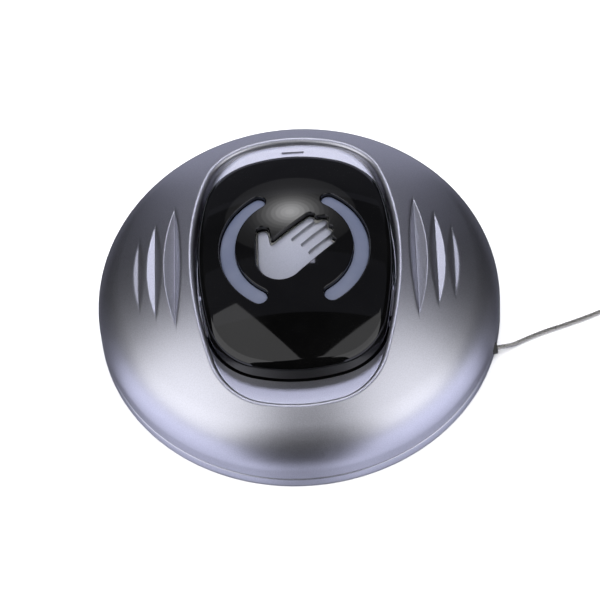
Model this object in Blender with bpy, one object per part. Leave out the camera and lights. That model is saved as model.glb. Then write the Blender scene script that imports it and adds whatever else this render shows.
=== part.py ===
"""Hand-press push button: a silver dome cover, a gloss black push plate hinged inside it,
and a small battery radio transmitter behind the plate.

Sizes are in millimetres; MM turns them into metres where a mesh is made. The origin is the
centre of the base's underside, +Z points away from the wall and +Y points up the wall.
"""

import math

import bmesh
import bpy
from mathutils import Vector

MM = 0.001
GAP = 0.3

# Housing
HOUSING_R = 57.5
SEAM_Z = 4.0
WALL = 2.2
SHOULDER_R = 16.3
SHOULDER_Z = 7.84
DOME_R = 89.5
DOME_TOP = 36.84
DOME_STEPS = 48
GROOVE_PAD_DEPTH = 4.8

# Recess and push plate: half width, side radius, half length, end radius, corner radius
RIM = (28.4, 102.0, 44.7, 44.7, 18.0)
PLATE = (27.5, 100.0, 36.6, 45.0, 18.0)
SHELF_Z = 22.5
SHELF_THICK = 2.0
PLATE_CLEARANCE = 0.5
PLATE_FOOT_Z = 18.5
PLATE_WALL = 1.8
PLATE_SKIN = 2.2
EDGE_DROP = ((0.0, 2.2), (0.5, 1.1), (1.5, 0.33), (3.4, 0.0))
NOTCH_HALF_WIDTH, NOTCH_END_Y, NOTCH_DEPTH = 3.15, 42.3, 0.5

# Side grooves: crease x and half length, outer edge (x, z), inner edge (x, z)
GROOVES = (
    (34.0, 20.0, (37.15, 28.72), (32.25, 30.80)),
    (39.75, 15.5, (42.20, 26.27), (38.10, 28.30)),
    (44.6, 11.3, (46.20, 24.00), (43.30, 25.70)),
)

# Light guides and hand inlay
GUIDE_R, GUIDE_HALF_WIDTH, GUIDE_HALF_ANGLE = 18.85, 2.15, math.radians(57.9)
GUIDE_SINK = 1.5
HAND_SINK = 2.0
HAND_ANGLE = math.radians(43.0)
PALM_CENTRE, PALM_R = (-3.9, -4.75), 6.45
THUMB_CENTRE, THUMB_R = (-8.78, 4.78), 1.57
CROTCH = (-6.55, 0.95)
FINGERS = ((8.2, -6.3, 0.97), (10.5, -3.05, 1.05), (11.9, 0.3, 1.05), (9.8, 3.6, 1.15))
FINGER_GAPS = ((1.9, -4.7), (2.2, -1.37), (1.6, 1.9))
FINGER_GAP_WIDTH = 1.45
INLAY_CLEARANCE = 0.3
FLANGE_TOP, FLANGE_MIDDLE, FLANGE_BOTTOM = 2.5, 3.1, 3.8
RETAINER_TOP, RETAINER_BOTTOM = 4.1, 5.5
RETAINER_R = 23.2
LAYER_STEPS = 24
RETAINER_SCREW_Y = 20.0
RETAINER_BOSS_R, RETAINER_PILOT_R, RETAINER_HOLE_R = 2.3, 0.95, 1.1
INLAY_FLANGE_R, GUIDE_FLANGE = 14.2, 0.9

# Hinge, switch and springs
HINGE_Y, HINGE_Z = 40.0, 16.5
HINGE_PIN_R, HINGE_BORE_R, HINGE_STEPS = 1.0, 1.08, 16
HINGE_PIN_HALF = 20.0
ARM_X, ARM_WIDTH = 12.0, 5.0
LUG_X, LUG_WIDTH, LUG_HALF_LENGTH, LUG_LOW = 17.5, 3.0, 2.4, 13.9
KNUCKLE_R = 2.4
ACTUATOR_R, ACTUATOR_LOW, ACTUATOR_HIGH = 2.2, 16.3, 31.6
HOOK_X, HOOK_WIDTH, HOOK_REACH = 10.0, 6.0, 38.6
SWITCH_Y = 26.0
SPRING_X, SPRING_Y = 16.0, -27.0
SPRING_LOW, SPRING_HIGH = 10.3, 22.6
SPRING_R, SPRING_WIRE_R, SPRING_TURNS = 2.85, 0.35, 5

# Base, board and fasteners
FLOOR = 2.0
LIP_OUT, LIP_IN, LIP_Z = 53.9, 52.0, 7.5
SEAL_OUT, SEAL_IN, SEAL_Z = 55.1, 54.2, 6.4
BASE_RIM, BASE_CHAMFER = 2.0, 0.7
BOSS_CIRCLE = 46.0
BASE_BOSS_R, BASE_BOSS_Z = 4.2, 8.5
COVER_BOSS_R, COVER_BOSS_LOW, COVER_BOSS_HIGH = 3.6, 8.8, 20.3
SCREW_HEAD_ROOM_R, SCREW_HEAD_ROOM_Z, SCREW_HOLE_R = 3.4, 4.0, 1.8
COVER_PILOT_R, COVER_PILOT_Z = 1.55, 18.0
BOARD_POST_R, BOARD_PILOT_R, BOARD_PILOT_Z = 2.6, 1.1, 3.8
SPRING_POST_R, SPRING_POST_Z, SPRING_NOSE_R, SPRING_NOSE_Z = 4.5, 10.0, 1.8, 13.0
SPRING_SEAT_R, SPRING_SEAT_TOP = 3.8, 29.6
BOARD_HALF_X, BOARD_Y0, BOARD_Y1 = 25.0, -16.0, 30.0
BOARD_Z0, BOARD_Z1 = 9.0, 10.6
BOARD_HOLES = ((-21.0, -12.0), (21.0, -12.0), (-21.0, 26.0), (21.0, 26.0))
KEYHOLE_X, KEYHOLE_LOW_Y, KEYHOLE_HIGH_Y = 30.0, -3.0, 5.0
KEYHOLE_HEAD_R, KEYHOLE_SLOT_R = 4.6, 2.5
BATTERY_Y, BATTERY_Z, BATTERY_R, BATTERY_HALF = -40.0, 9.0, 5.15, 14.25

# Antenna lead
LEAD_R = 0.65
LEAD_HOLE_R, SEAL_HOLE_R = 2.0, 2.1
LEAD_EXIT = (55.16, -16.24, 3.0)
LEAD_HEADING = math.radians(12.0)
LEAD_ROUTE = (
    (48.8, -17.59, 3.0), (51.25, -17.07, 3.0), (53.7, -16.55, 3.0), (55.94, -16.05, 2.95),
    (58.2, -15.3, 2.3), (60.3, -14.35, 1.4), (62.6, -13.1, 1.0), (65.3, -11.8, 0.9),
    (70.5, -9.75, 0.9), (77.0, -7.6, 0.9), (84.0, -5.0, 0.9), (90.3, -2.2, 0.9),
    (94.6, -0.16, 0.9),
)
TAIL_ROUTE = (
    (23.5, -9.0, 11.6), (28.0, -9.9, 11.2), (33.5, -12.6, 8.8), (38.5, -15.6, 5.4),
    (43.0, -17.5, 3.4), (48.2, -17.72, 3.0),
)
COIL_CENTRE = (96.5, 8.0)
COIL_R = 6.6
COIL_LOW, COIL_HIGH = 0.25, 2.85
END_HEADING = math.radians(-29.0)
END_START = (97.6, -0.15)

MATERIALS = {
    "silver_paint": ((0.36, 0.37, 0.43), 0.34, 0.85),
    "gloss_black": ((0.012, 0.012, 0.014), 0.08, 0.0),
    "inlay_silver": ((0.62, 0.62, 0.66), 0.3, 0.8),
    "guide_grey": ((0.22, 0.25, 0.33), 0.3, 0.0),
    "steel": ((0.6, 0.6, 0.6), 0.3, 1.0),
    "black_plastic": ((0.03, 0.03, 0.03), 0.5, 0.0),
    "white_plastic": ((0.75, 0.75, 0.72), 0.45, 0.0),
    "board_green": ((0.02, 0.16, 0.07), 0.4, 0.0),
    "rubber": ((0.025, 0.025, 0.025), 0.8, 0.0),
    "led_clear": ((0.7, 0.75, 0.8), 0.1, 0.0),
    "battery_wrap": ((0.05, 0.07, 0.16), 0.3, 0.3),
    "tinned_wire": ((0.45, 0.44, 0.42), 0.35, 1.0),
}


def clear_scene():
    for obj in list(bpy.data.objects):
        bpy.data.objects.remove(obj)


def material(name):
    """The named Principled material, made the first time it is asked for."""
    found = bpy.data.materials.get(name)
    if found:
        return found
    colour, roughness, metallic = MATERIALS[name]
    made = bpy.data.materials.new(name)
    made.use_nodes = True
    shader = made.node_tree.nodes["Principled BSDF"]
    shader.inputs["Base Color"].default_value = (*colour, 1.0)
    shader.inputs["Roughness"].default_value = roughness
    shader.inputs["Metallic"].default_value = metallic
    return made


def finish(obj, material_name, sharp_degrees=32.0):
    """Give a finished solid its material and its smooth shading."""
    obj.data.materials.clear()
    obj.data.materials.append(material(material_name))
    obj.data.shade_smooth()
    obj.data.set_sharp_from_angle(angle=math.radians(sharp_degrees))
    return obj


# ---------------------------------------------------------------- solids

def object_from(name, bm):
    bmesh.ops.recalc_face_normals(bm, faces=bm.faces)
    mesh = bpy.data.meshes.new(name)
    bm.to_mesh(mesh)
    bm.free()
    obj = bpy.data.objects.new(name, mesh)
    bpy.context.scene.collection.objects.link(obj)
    return obj


def loft(name, rings, closed=False):
    """A solid through rings with equal point counts: capped at both ends, or closed on itself."""
    bm = bmesh.new()
    loops = [[bm.verts.new(Vector(point) * MM) for point in ring] for ring in rings]
    pairs = list(zip(loops, loops[1:]))
    if closed:
        pairs.append((loops[-1], loops[0]))
    else:
        bm.faces.new(loops[0])
        bm.faces.new(loops[-1])
    for low, high in pairs:
        for i in range(len(low)):
            j = (i + 1) % len(low)
            bm.faces.new((low[i], low[j], high[j], high[i]))
    return object_from(name, bm)


def circle(radius, z, steps, centre=(0.0, 0.0)):
    turns = [2 * math.pi * i / steps for i in range(steps)]
    return [(centre[0] + radius * math.cos(t), centre[1] + radius * math.sin(t), z) for t in turns]


def turned(name, profile, steps, centre=(0.0, 0.0), closed=False):
    """A turned solid about a vertical axis, from (radius, z) points."""
    return loft(name, [circle(r, z, steps, centre) for r, z in profile], closed)


def pillar(name, radius, low, high, centre, steps=12):
    """An upright round bar between two heights."""
    return turned(name, [(radius, low), (radius, high)], steps, centre)


def prism(name, outline, low, high):
    return loft(name, [[(x, y, z) for x, y in outline] for z in (low, high)])


def box(name, low, high):
    corners = [(low[0], low[1]), (high[0], low[1]), (high[0], high[1]), (low[0], high[1])]
    return prism(name, corners, low[2], high[2])


def rod(name, start, end, radius, steps=20, bore=0.0):
    """A straight round bar between two points, or a tube where bore is given."""
    start, end = Vector(start), Vector(end)
    turn = (end - start).to_track_quat("Z", "Y")
    length = (end - start).length
    profile = [(radius, 0.0), (radius, length)]
    if bore:
        profile += [(bore, length), (bore, 0.0)]
    rings = []
    for r, z in profile:
        rings.append([tuple(start + turn @ Vector(point)) for point in circle(r, z, steps)])
    return loft(name, rings, closed=bool(bore))


def combine(target, tool, operation):
    """Boolean the tool into the target for good, and drop the tool."""
    modifier = target.modifiers.new("combine", "BOOLEAN")
    modifier.operation = operation
    modifier.solver = "EXACT"
    modifier.object = tool
    view = bpy.context.evaluated_depsgraph_get()
    mesh = bpy.data.meshes.new_from_object(target.evaluated_get(view))
    target.modifiers.clear()
    target.data = mesh
    bpy.data.objects.remove(tool)


def cut(target, *tools):
    for tool in tools:
        combine(target, tool, "DIFFERENCE")


def join(target, *tools):
    for tool in tools:
        combine(target, tool, "UNION")


def keep(target, *tools):
    for tool in tools:
        combine(target, tool, "INTERSECT")


def smooth_line(points, spacing):
    """Points about one spacing apart along a Catmull-Rom curve through the given ones."""
    route = [Vector(p) for p in points]
    route = [2 * route[0] - route[1]] + route + [2 * route[-1] - route[-2]]
    line = []
    for a, b, c, d in zip(route, route[1:], route[2:], route[3:]):
        steps = max(1, round((c - b).length / spacing))
        for i in range(steps):
            t = i / steps
            line.append(
                0.5 * (2 * b + (c - a) * t + (2 * a - 5 * b + 4 * c - d) * t**2
                       + (3 * b - a - 3 * c + d) * t**3)
            )
    return line + [route[-2]]


def wire(name, points, radius, material_name, resolution=2):
    """A round wire along a poly line."""
    curve = bpy.data.curves.new(name, "CURVE")
    curve.dimensions = "3D"
    curve.bevel_depth = radius * MM
    curve.bevel_resolution = resolution
    curve.use_fill_caps = True
    curve.render_resolution_u = 0
    spline = curve.splines.new("POLY")
    spline.points.add(len(points) - 1)
    for point, place in zip(spline.points, points):
        point.co = (*(Vector(place) * MM), 1.0)
    curve.materials.append(material(material_name))
    obj = bpy.data.objects.new(name, curve)
    bpy.context.scene.collection.objects.link(obj)
    return obj


# ---------------------------------------------------------------- outlines

def arc(centre, radius, start, end, steps):
    angles = [start + (end - start) * i / steps for i in range(steps + 1)]
    return [(centre[0] + radius * math.cos(a), centre[1] + radius * math.sin(a)) for a in angles]


def rounded_plate(shape, grow=0.0, steps=(4, 4, 5)):
    """Outline of a plate whose sides, corners and ends are tangent arcs, anticlockwise."""
    half_width, side_r, half_length, end_r, corner_r = shape
    side_x, end_y = half_width - side_r, half_length - end_r
    a, b = side_r - corner_r, end_r - corner_r
    apart = math.hypot(side_x, end_y)
    along = (a * a - b * b + apart * apart) / (2 * apart)
    across = math.sqrt(a * a - along * along)
    ux, uy = -side_x / apart, end_y / apart
    corner = (side_x + along * ux - across * uy, along * uy + across * ux)
    first = math.atan2(corner[1], corner[0] - side_x)
    second = math.atan2(corner[1] - end_y, corner[0])
    quarter = arc((side_x, 0.0), side_r + grow, 0.0, first, steps[0])
    quarter += arc(corner, corner_r + grow, first, second, steps[1])[1:]
    quarter += arc((0.0, end_y), end_r + grow, second, math.pi / 2, steps[2])[1:]
    half = quarter + [(-x, y) for x, y in reversed(quarter[:-1])]
    return half + [(-x, -y) for x, y in half[1:-1]]


def guide_outline(grow=0.0, side=1):
    """Outline of one arc-shaped light guide with round ends."""
    r, half, turn = GUIDE_R, GUIDE_HALF_WIDTH + grow, GUIDE_HALF_ANGLE
    top = (r * math.cos(turn), r * math.sin(turn))
    low = (top[0], -top[1])
    outline = arc((0, 0), r + half, -turn, turn, 12)
    outline += arc(top, half, turn, turn + math.pi, 5)[1:-1]
    outline += arc((0, 0), r - half, turn, -turn, 12)
    outline += arc(low, half, math.pi - turn, 2 * math.pi - turn, 5)[1:-1]
    return [(side * x, y) for x, y in outline]


def hand_frame(u, v):
    """A point from the hand's own axes, u along the fingers, into x and y."""
    c, s = math.cos(HAND_ANGLE), math.sin(HAND_ANGLE)
    return u * c - v * s, u * s + v * c


def hand_outline():
    """An open right hand: round palm, four fingertips and an upright thumb, anticlockwise."""
    quarter = math.pi / 2
    outline = arc(PALM_CENTRE, PALM_R, math.pi, 2 * math.pi + HAND_ANGLE - quarter, 10)
    for i, (u, v, r) in enumerate(FINGERS):
        start = -quarter if i == 0 else -0.7 * quarter
        end = quarter if i == len(FINGERS) - 1 else 0.7 * quarter
        outline += arc(hand_frame(u, v), r, HAND_ANGLE + start, HAND_ANGLE + end, 4)
    outline.append(CROTCH)
    outline += arc(THUMB_CENTRE, THUMB_R, 0.0, math.pi, 6)
    return outline


def grown(outline, distance):
    """The outline moved outwards, each corner along the mean of its two sides' normals."""
    moved = []
    for i, here in enumerate(outline):
        before, after = outline[i - 1], outline[(i + 1) % len(outline)]
        one = Vector((here[1] - before[1], before[0] - here[0])).normalized()
        two = Vector((after[1] - here[1], here[0] - after[0])).normalized()
        mean = (one + two).normalized()
        stretch = distance / max(0.6, mean.dot(one))
        moved.append((here[0] + mean.x * stretch, here[1] + mean.y * stretch))
    return moved


def dome_height(x, y, sink=0.0):
    return DOME_TOP - DOME_R + math.sqrt((DOME_R - sink) ** 2 - x * x - y * y)


def dome_solid(name, sink=0.0, low=SEAM_Z):
    """The housing's full outer form, or one inset by sink, from the height low up."""
    straight = HOUSING_R - SHOULDER_R
    lean = math.atan2(SHOULDER_Z - (DOME_TOP - DOME_R), straight)
    profile = [(HOUSING_R - sink, low)]
    profile += [
        (straight + r, SHOULDER_Z + z)
        for r, z in arc((0, 0), SHOULDER_R - sink, 0.0, lean, 5)
    ]
    crown = arc((0, DOME_TOP - DOME_R), DOME_R - sink, lean, math.radians(88.0), 6)
    return turned(name, profile + crown[1:], DOME_STEPS)


def sphere_layer(name, outline, top, bottom):
    """The part of a layer parallel to the dome, between two depths, inside an outline."""
    reach = max(math.hypot(x, y) for x, y in outline) + 2.0
    angles = arc((0, 0), 1.0, math.acos(reach / DOME_R), math.radians(88.0), 4)
    centre = DOME_TOP - DOME_R
    outer = [((DOME_R - top) * c, centre + (DOME_R - top) * s) for c, s in angles]
    inner = [((DOME_R - bottom) * c, centre + (DOME_R - bottom) * s) for c, s in angles]
    low = min(inner[0][1], outer[0][1]) - 1.0
    layer = turned(name, [(outer[0][0], low)] + outer, LAYER_STEPS)
    cut(layer, turned("hollow", [(inner[0][0] + 3.0, low - 1.0)] + inner, LAYER_STEPS))
    keep(layer, prism("outline", outline, 0.0, 60.0))
    return layer


# ---------------------------------------------------------------- housing

def lead_point(distance):
    """A point on the straight line of the lead through the wall, outwards from its exit."""
    x, y, z = LEAD_EXIT
    return x + distance * math.cos(LEAD_HEADING), y + distance * math.sin(LEAD_HEADING), z


def hinge_rod(name, half_length, radius):
    """A bar of the hinge's own facets along its axis: the pin, or a cutter for its bores."""
    low, high = (-half_length, HINGE_Y, HINGE_Z), (half_length, HINGE_Y, HINGE_Z)
    return rod(name, low, high, radius, HINGE_STEPS)


def lead_hole(radius):
    return rod("lead_hole", lead_point(-8.5), lead_point(5.0), radius)


def boss_places():
    turns = [math.radians(a) for a in (45, 135, 225, 315)]
    return [(BOSS_CIRCLE * math.cos(t), BOSS_CIRCLE * math.sin(t)) for t in turns]


def keyhole(side):
    """A hanging slot: a round entry with a narrower slot above it."""
    x = side * KEYHOLE_X
    ring = arc((x, KEYHOLE_LOW_Y), KEYHOLE_HEAD_R, 0.0, 2 * math.pi, 20)[:-1]
    head = prism("head", ring, -1.0, FLOOR + 1.0)
    slot = arc((x, KEYHOLE_HIGH_Y), KEYHOLE_SLOT_R, 0.0, math.pi, 8)
    slot += [(x - KEYHOLE_SLOT_R, KEYHOLE_LOW_Y), (x + KEYHOLE_SLOT_R, KEYHOLE_LOW_Y)]
    join(head, prism("slot", slot, -1.0, FLOOR + 1.0))
    return head


def base_plate():
    rim_top = SEAM_Z - GAP / 2
    rim_in = HOUSING_R - BASE_RIM
    base = turned("base_plate", [
        (HOUSING_R - BASE_CHAMFER, 0.0), (HOUSING_R, BASE_CHAMFER), (HOUSING_R, rim_top), (rim_in, rim_top),
        (rim_in, FLOOR), (LIP_OUT, FLOOR), (LIP_OUT, LIP_Z), (LIP_IN, LIP_Z), (LIP_IN, FLOOR),
    ], DOME_STEPS)
    for x, y in boss_places():
        join(base, pillar("boss", BASE_BOSS_R, FLOOR / 2, BASE_BOSS_Z, (x, y), 16))
        cut(base, pillar("head_room", SCREW_HEAD_ROOM_R, -1.0, SCREW_HEAD_ROOM_Z, (x, y), 16))
        cut(base, pillar("hole", SCREW_HOLE_R, -1.0, BASE_BOSS_Z + 1.5, (x, y)))
    for x, y in BOARD_HOLES:
        join(base, pillar("post", BOARD_POST_R, FLOOR / 2, BOARD_Z0 - GAP, (x, y)))
        cut(base, pillar("pilot", BOARD_PILOT_R, BOARD_PILOT_Z, BOARD_Z0 + 1.0, (x, y)))
    for side in (-1, 1):
        profile = [(SPRING_POST_R, FLOOR / 2), (SPRING_POST_R, SPRING_POST_Z)]
        profile += [(SPRING_NOSE_R, SPRING_POST_Z), (SPRING_NOSE_R, SPRING_NOSE_Z)]
        join(base, turned("spring_post", profile, 12, (side * SPRING_X, SPRING_Y)))
        cut(base, keyhole(side))
    cut(base, lead_hole(LEAD_HOLE_R))
    return finish(base, "silver_paint")


def seal_ring():
    ring = turned("seal_ring", [
        (SEAL_IN, FLOOR + GAP), (SEAL_OUT, FLOOR + GAP), (SEAL_OUT, SEAL_Z), (SEAL_IN, SEAL_Z),
    ], DOME_STEPS, closed=True)
    cut(ring, lead_hole(SEAL_HOLE_R))
    return finish(ring, "rubber")


def groove_cutter(crease_x, half_length, outer, inner, side):
    """A long wedge whose sharp edge lies on the groove's straight crease."""
    crease_z = dome_height(crease_x, half_length)
    reach = 4.0
    section = [(crease_x, crease_z)]
    for x, z in (outer, inner):
        section.append((crease_x + reach * (x - crease_x), crease_z + reach * (z - crease_z)))
    rings = [[(side * x, y, z) for x, z in section] for y in (-half_length - 8, half_length + 8)]
    return loft("groove", rings)


def groove_pad(side):
    """Thicker shell behind the grooves, so that they don't break through it."""
    low, high = sorted((side * 30.5, side * 48.5))
    pad = box("pad", (low, -22.0, 10.0), (high, 22.0, 40.0))
    cut(pad, dome_solid("deep", GROOVE_PAD_DEPTH, low=2.0))
    return pad


def dome_cover():
    cover = dome_solid("dome_cover", 0.0, SEAM_Z + GAP / 2)
    cavity = dome_solid("cavity", WALL, low=2.0)
    cut(cavity, prism("pan", rounded_plate(RIM, WALL), SHELF_Z - SHELF_THICK, 50.0))
    for side in (-1, 1):
        cut(cavity, groove_pad(side))
    cut(cover, cavity)
    for x, y in boss_places():
        join(cover, pillar("boss", COVER_BOSS_R, COVER_BOSS_LOW, COVER_BOSS_HIGH, (x, y)))
        cut(cover, pillar("pilot", COVER_PILOT_R, COVER_BOSS_LOW - 0.8, COVER_PILOT_Z, (x, y)))
    for side in (-1, 1):
        x = side * LUG_X
        half = LUG_WIDTH / 2
        join(cover, box("lug", (x - half, HINGE_Y - LUG_HALF_LENGTH, LUG_LOW),
                        (x + half, HINGE_Y + LUG_HALF_LENGTH, SHELF_Z - 1.0)))
    cut(cover, hinge_rod("hinge_bore", HINGE_PIN_HALF + 4.0, HINGE_BORE_R))
    cut(cover, prism("recess", rounded_plate(RIM), SHELF_Z, 60.0))
    opening = rounded_plate(PLATE, PLATE_CLEARANCE)
    cut(cover, prism("opening", opening, SHELF_Z - 8.0, SHELF_Z + 8.0))
    cut(cover, box("notch", (-NOTCH_HALF_WIDTH, 30.0, SHELF_Z - NOTCH_DEPTH),
                   (NOTCH_HALF_WIDTH, NOTCH_END_Y, SHELF_Z + 5.0)))
    for groove in GROOVES:
        for side in (-1, 1):
            cut(cover, groove_cutter(*groove, side))
    cut(cover, lead_hole(LEAD_HOLE_R))
    return finish(cover, "silver_paint")


# ---------------------------------------------------------------- push plate

def crowned_block(name, inset, sink, low):
    """The push plate's form: straight walls up to a rolled edge and the dome's curve."""
    rings = [[(x, y, low) for x, y in rounded_plate(PLATE, -inset)]]
    for step, drop in EDGE_DROP:
        outline = rounded_plate(PLATE, -inset - step)
        rings.append([(x, y, dome_height(x, y, sink) - drop) for x, y in outline])
    last = rounded_plate(PLATE, -inset - EDGE_DROP[-1][0])
    for share in (0.75, 0.5, 0.25, 0.04):
        rings.append([(share * x, share * y, dome_height(share * x, share * y, sink)) for x, y in last])
    return loft(name, rings)


def push_plate():
    plate = crowned_block("push_plate", 0.0, 0.0, PLATE_FOOT_Z)
    cut(plate, crowned_block("inside", PLATE_WALL, PLATE_SKIN, PLATE_FOOT_Z - 3.0))
    for side in (-1, 1):
        cut(plate, prism("guide_slot", guide_outline(INLAY_CLEARANCE, side), 20.0, 50.0))
        place = (side * SPRING_X, SPRING_Y)
        join(plate, pillar("spring_seat", SPRING_SEAT_R, SPRING_HIGH + GAP, SPRING_SEAT_TOP, place))
        low, high = sorted((side * HOOK_X - HOOK_WIDTH / 2, side * HOOK_X + HOOK_WIDTH / 2))
        join(plate, box("hook", (low, -HOOK_REACH, PLATE_FOOT_Z), (high, -34.8, 20.2)))
        low, high = side * ARM_X - ARM_WIDTH / 2, side * ARM_X + ARM_WIDTH / 2
        arm = rod("knuckle", (low, HINGE_Y, HINGE_Z), (high, HINGE_Y, HINGE_Z), KNUCKLE_R, HINGE_STEPS)
        join(arm, box("web", (low, 34.3, 15.0), (high, HINGE_Y, 18.8)))
        join(plate, arm)
    join(plate, box("rear_rib", (-14.0, 33.0, 15.4), (14.0, 34.6, 22.0)))
    cut(plate, hinge_rod("hinge_bore", HINGE_PIN_HALF + 4.0, HINGE_BORE_R))
    cut(plate, prism("hand_pocket", grown(hand_outline(), INLAY_CLEARANCE), 20.0, 50.0))
    join(plate, pillar("actuator", ACTUATOR_R, ACTUATOR_LOW, ACTUATOR_HIGH, (0.0, SWITCH_Y)))
    base = dome_height(0, RETAINER_SCREW_Y - 2.4) - RETAINER_TOP + GAP
    for y in (-RETAINER_SCREW_Y, RETAINER_SCREW_Y):
        join(plate, pillar("screw_boss", RETAINER_BOSS_R, base, base + 3.0, (0.0, y)))
        cut(plate, pillar("pilot", RETAINER_PILOT_R, base - 1.0, base + 2.2, (0.0, y)))
    return finish(plate, "gloss_black")


def light_guide(name, side):
    """An arc-shaped translucent bar with a flange under the push plate's skin."""
    guide = sphere_layer(name, guide_outline(0.0, side), GUIDE_SINK, FLANGE_MIDDLE)
    join(guide, sphere_layer("flange", guide_outline(GUIDE_FLANGE, side), FLANGE_TOP, FLANGE_BOTTOM))
    return finish(guide, "guide_grey")


def hand_inlay():
    """A hand in relief, with a groove between each two fingers, on a round flange."""
    hand = sphere_layer("hand_inlay", hand_outline(), HAND_SINK, FLANGE_MIDDLE)
    ring = arc((0, 0), INLAY_FLANGE_R, 0.0, 2 * math.pi, 32)[:-1]
    join(hand, sphere_layer("flange", ring, FLANGE_TOP, FLANGE_BOTTOM))
    for u, v in FINGER_GAPS:
        half = FINGER_GAP_WIDTH / 2
        outline = [hand_frame(u + 13.0, v - half), hand_frame(u + 13.0, v + half)]
        outline += arc(hand_frame(u, v), half, HAND_ANGLE + math.pi / 2, HAND_ANGLE + 1.5 * math.pi, 4)
        floor = dome_height(*hand_frame(u + 4.0, v), HAND_SINK) - 0.9
        cut(hand, prism("finger_gap", outline, floor, 50.0))
    return finish(hand, "inlay_silver")


def inlay_retainer():
    """The plate that holds the guides and the hand up against the push plate's skin."""
    outline = arc((0, 0), RETAINER_R, 0.0, 2 * math.pi, 32)[:-1]
    plate = sphere_layer("inlay_retainer", outline, RETAINER_TOP, RETAINER_BOTTOM)
    for side in (-1, 1):
        cut(plate, prism("light_window", guide_outline(-0.8, side), 20.0, 50.0))
    for y in (-RETAINER_SCREW_Y, RETAINER_SCREW_Y):
        cut(plate, pillar("hole", RETAINER_HOLE_R, 20.0, 45.0, (0.0, y)))
    return finish(plate, "white_plastic")


def hinge_pin():
    return finish(hinge_rod("hinge_pin", HINGE_PIN_HALF, HINGE_PIN_R), "steel")


def return_spring(name, side):
    """A compression spring whose ends lie flat on their seats."""
    points = []
    per_turn = 8
    rise = SPRING_HIGH - SPRING_LOW - 2 * SPRING_WIRE_R
    for i in range(SPRING_TURNS * per_turn + 1):
        turn = i / per_turn
        share = min(max((turn - 0.8) / (SPRING_TURNS - 1.6), 0.0), 1.0)
        dead = 2.2 * SPRING_WIRE_R * min(turn, 0.8) / 0.8
        top = 2.2 * SPRING_WIRE_R * max(turn - SPRING_TURNS + 0.8, 0.0) / 0.8
        z = SPRING_LOW + SPRING_WIRE_R + dead + top + share * (rise - 4.4 * SPRING_WIRE_R)
        a = 2 * math.pi * turn
        points.append((side * SPRING_X + SPRING_R * math.cos(a), SPRING_Y + SPRING_R * math.sin(a), z))
    return wire(name, points, SPRING_WIRE_R, "steel", resolution=1)


# ---------------------------------------------------------------- electronics

def circuit_board():
    board = box("circuit_board", (-BOARD_HALF_X, BOARD_Y0, BOARD_Z0), (BOARD_HALF_X, BOARD_Y1, BOARD_Z1))
    for x, y in BOARD_HOLES:
        cut(board, pillar("hole", 1.2, BOARD_Z0 - 1.0, BOARD_Z1 + 1.4, (x, y)))
    return finish(board, "board_green")


def switch_body():
    low = BOARD_Z1 + GAP
    body = box("switch_body", (-3.1, SWITCH_Y - 3.1, low), (3.1, SWITCH_Y + 3.1, low + 3.4))
    cut(body, turned("well", [(1.9, 12.5), (1.9, 16.0)], 20, (0.0, SWITCH_Y)))
    return finish(body, "black_plastic")


def switch_plunger():
    profile = [(1.75, 13.1), (1.75, 15.8), (1.55, 16.0)]
    return finish(turned("switch_plunger", profile, 20, (0.0, SWITCH_Y)), "white_plastic")


def led(name, side_x, side_y):
    """A 5 mm light-emitting diode under one half of a light guide."""
    angle = math.radians(35.0)
    place = (side_x * GUIDE_R * math.cos(angle), side_y * GUIDE_R * math.sin(angle))
    low = BOARD_Z1 + GAP
    profile = [(2.9, low), (2.9, low + 1.0), (2.5, low + 1.0), (2.5, low + 6.2)]
    profile += [(2.5 * math.cos(t), low + 6.2 + 2.5 * math.sin(t)) for t in (0.5, 1.0, 1.45)]
    return finish(turned(name, profile, 12, place), "led_clear")


def chip(name, centre, size, material_name):
    """A rectangular component on the board."""
    low = BOARD_Z1 + GAP
    (x, y), (w, d, h) = centre, size
    part = box(name, (x - w / 2, y - d / 2, low), (x + w / 2, y + d / 2, low + h))
    return finish(part, material_name)


def battery_holder():
    y, top = BATTERY_Y, BATTERY_Z
    holder = box("battery_holder", (-18.4, y - 6.4, FLOOR + GAP), (18.4, y + 6.4, 12.0))
    cut(holder, box("bay", (-17.0, y - 5.5, 3.5), (17.0, y + 5.5, 14.0)))
    cut(holder, box("low_sides", (-15.0, y - 8.0, top - 1.5), (15.0, y + 8.0, 14.0)))
    return finish(holder, "black_plastic")


def battery():
    """A 12 V cell of 10.3 by 28.5 mm, lying along x, with its positive button."""
    y, z = BATTERY_Y, BATTERY_Z
    cell = rod("battery", (-BATTERY_HALF, y, z), (BATTERY_HALF - 1.0, y, z), BATTERY_R, 32)
    join(cell, rod("button", (10.0, y, z), (BATTERY_HALF, y, z), 2.2, 20))
    return finish(cell, "battery_wrap")


def battery_contacts():
    y, z = BATTERY_Y, BATTERY_Z
    plate = box("battery_contact_plate", (16.2, y - 4.5, 3.8), (16.7, y + 4.5, 13.4))
    join(plate, rod("dimple", (14.55, y, z), (16.4, y, z), 1.6, 16))
    finish(plate, "steel")
    points = []
    for i in range(17):
        a = 2 * math.pi * i / 8
        points.append((-16.3 + 1.35 * i / 16, y + 2.6 * math.cos(a), z + 2.6 * math.sin(a)))
    wire("battery_contact_spring", points, 0.2, "steel", resolution=1)


# ---------------------------------------------------------------- fasteners

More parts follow.
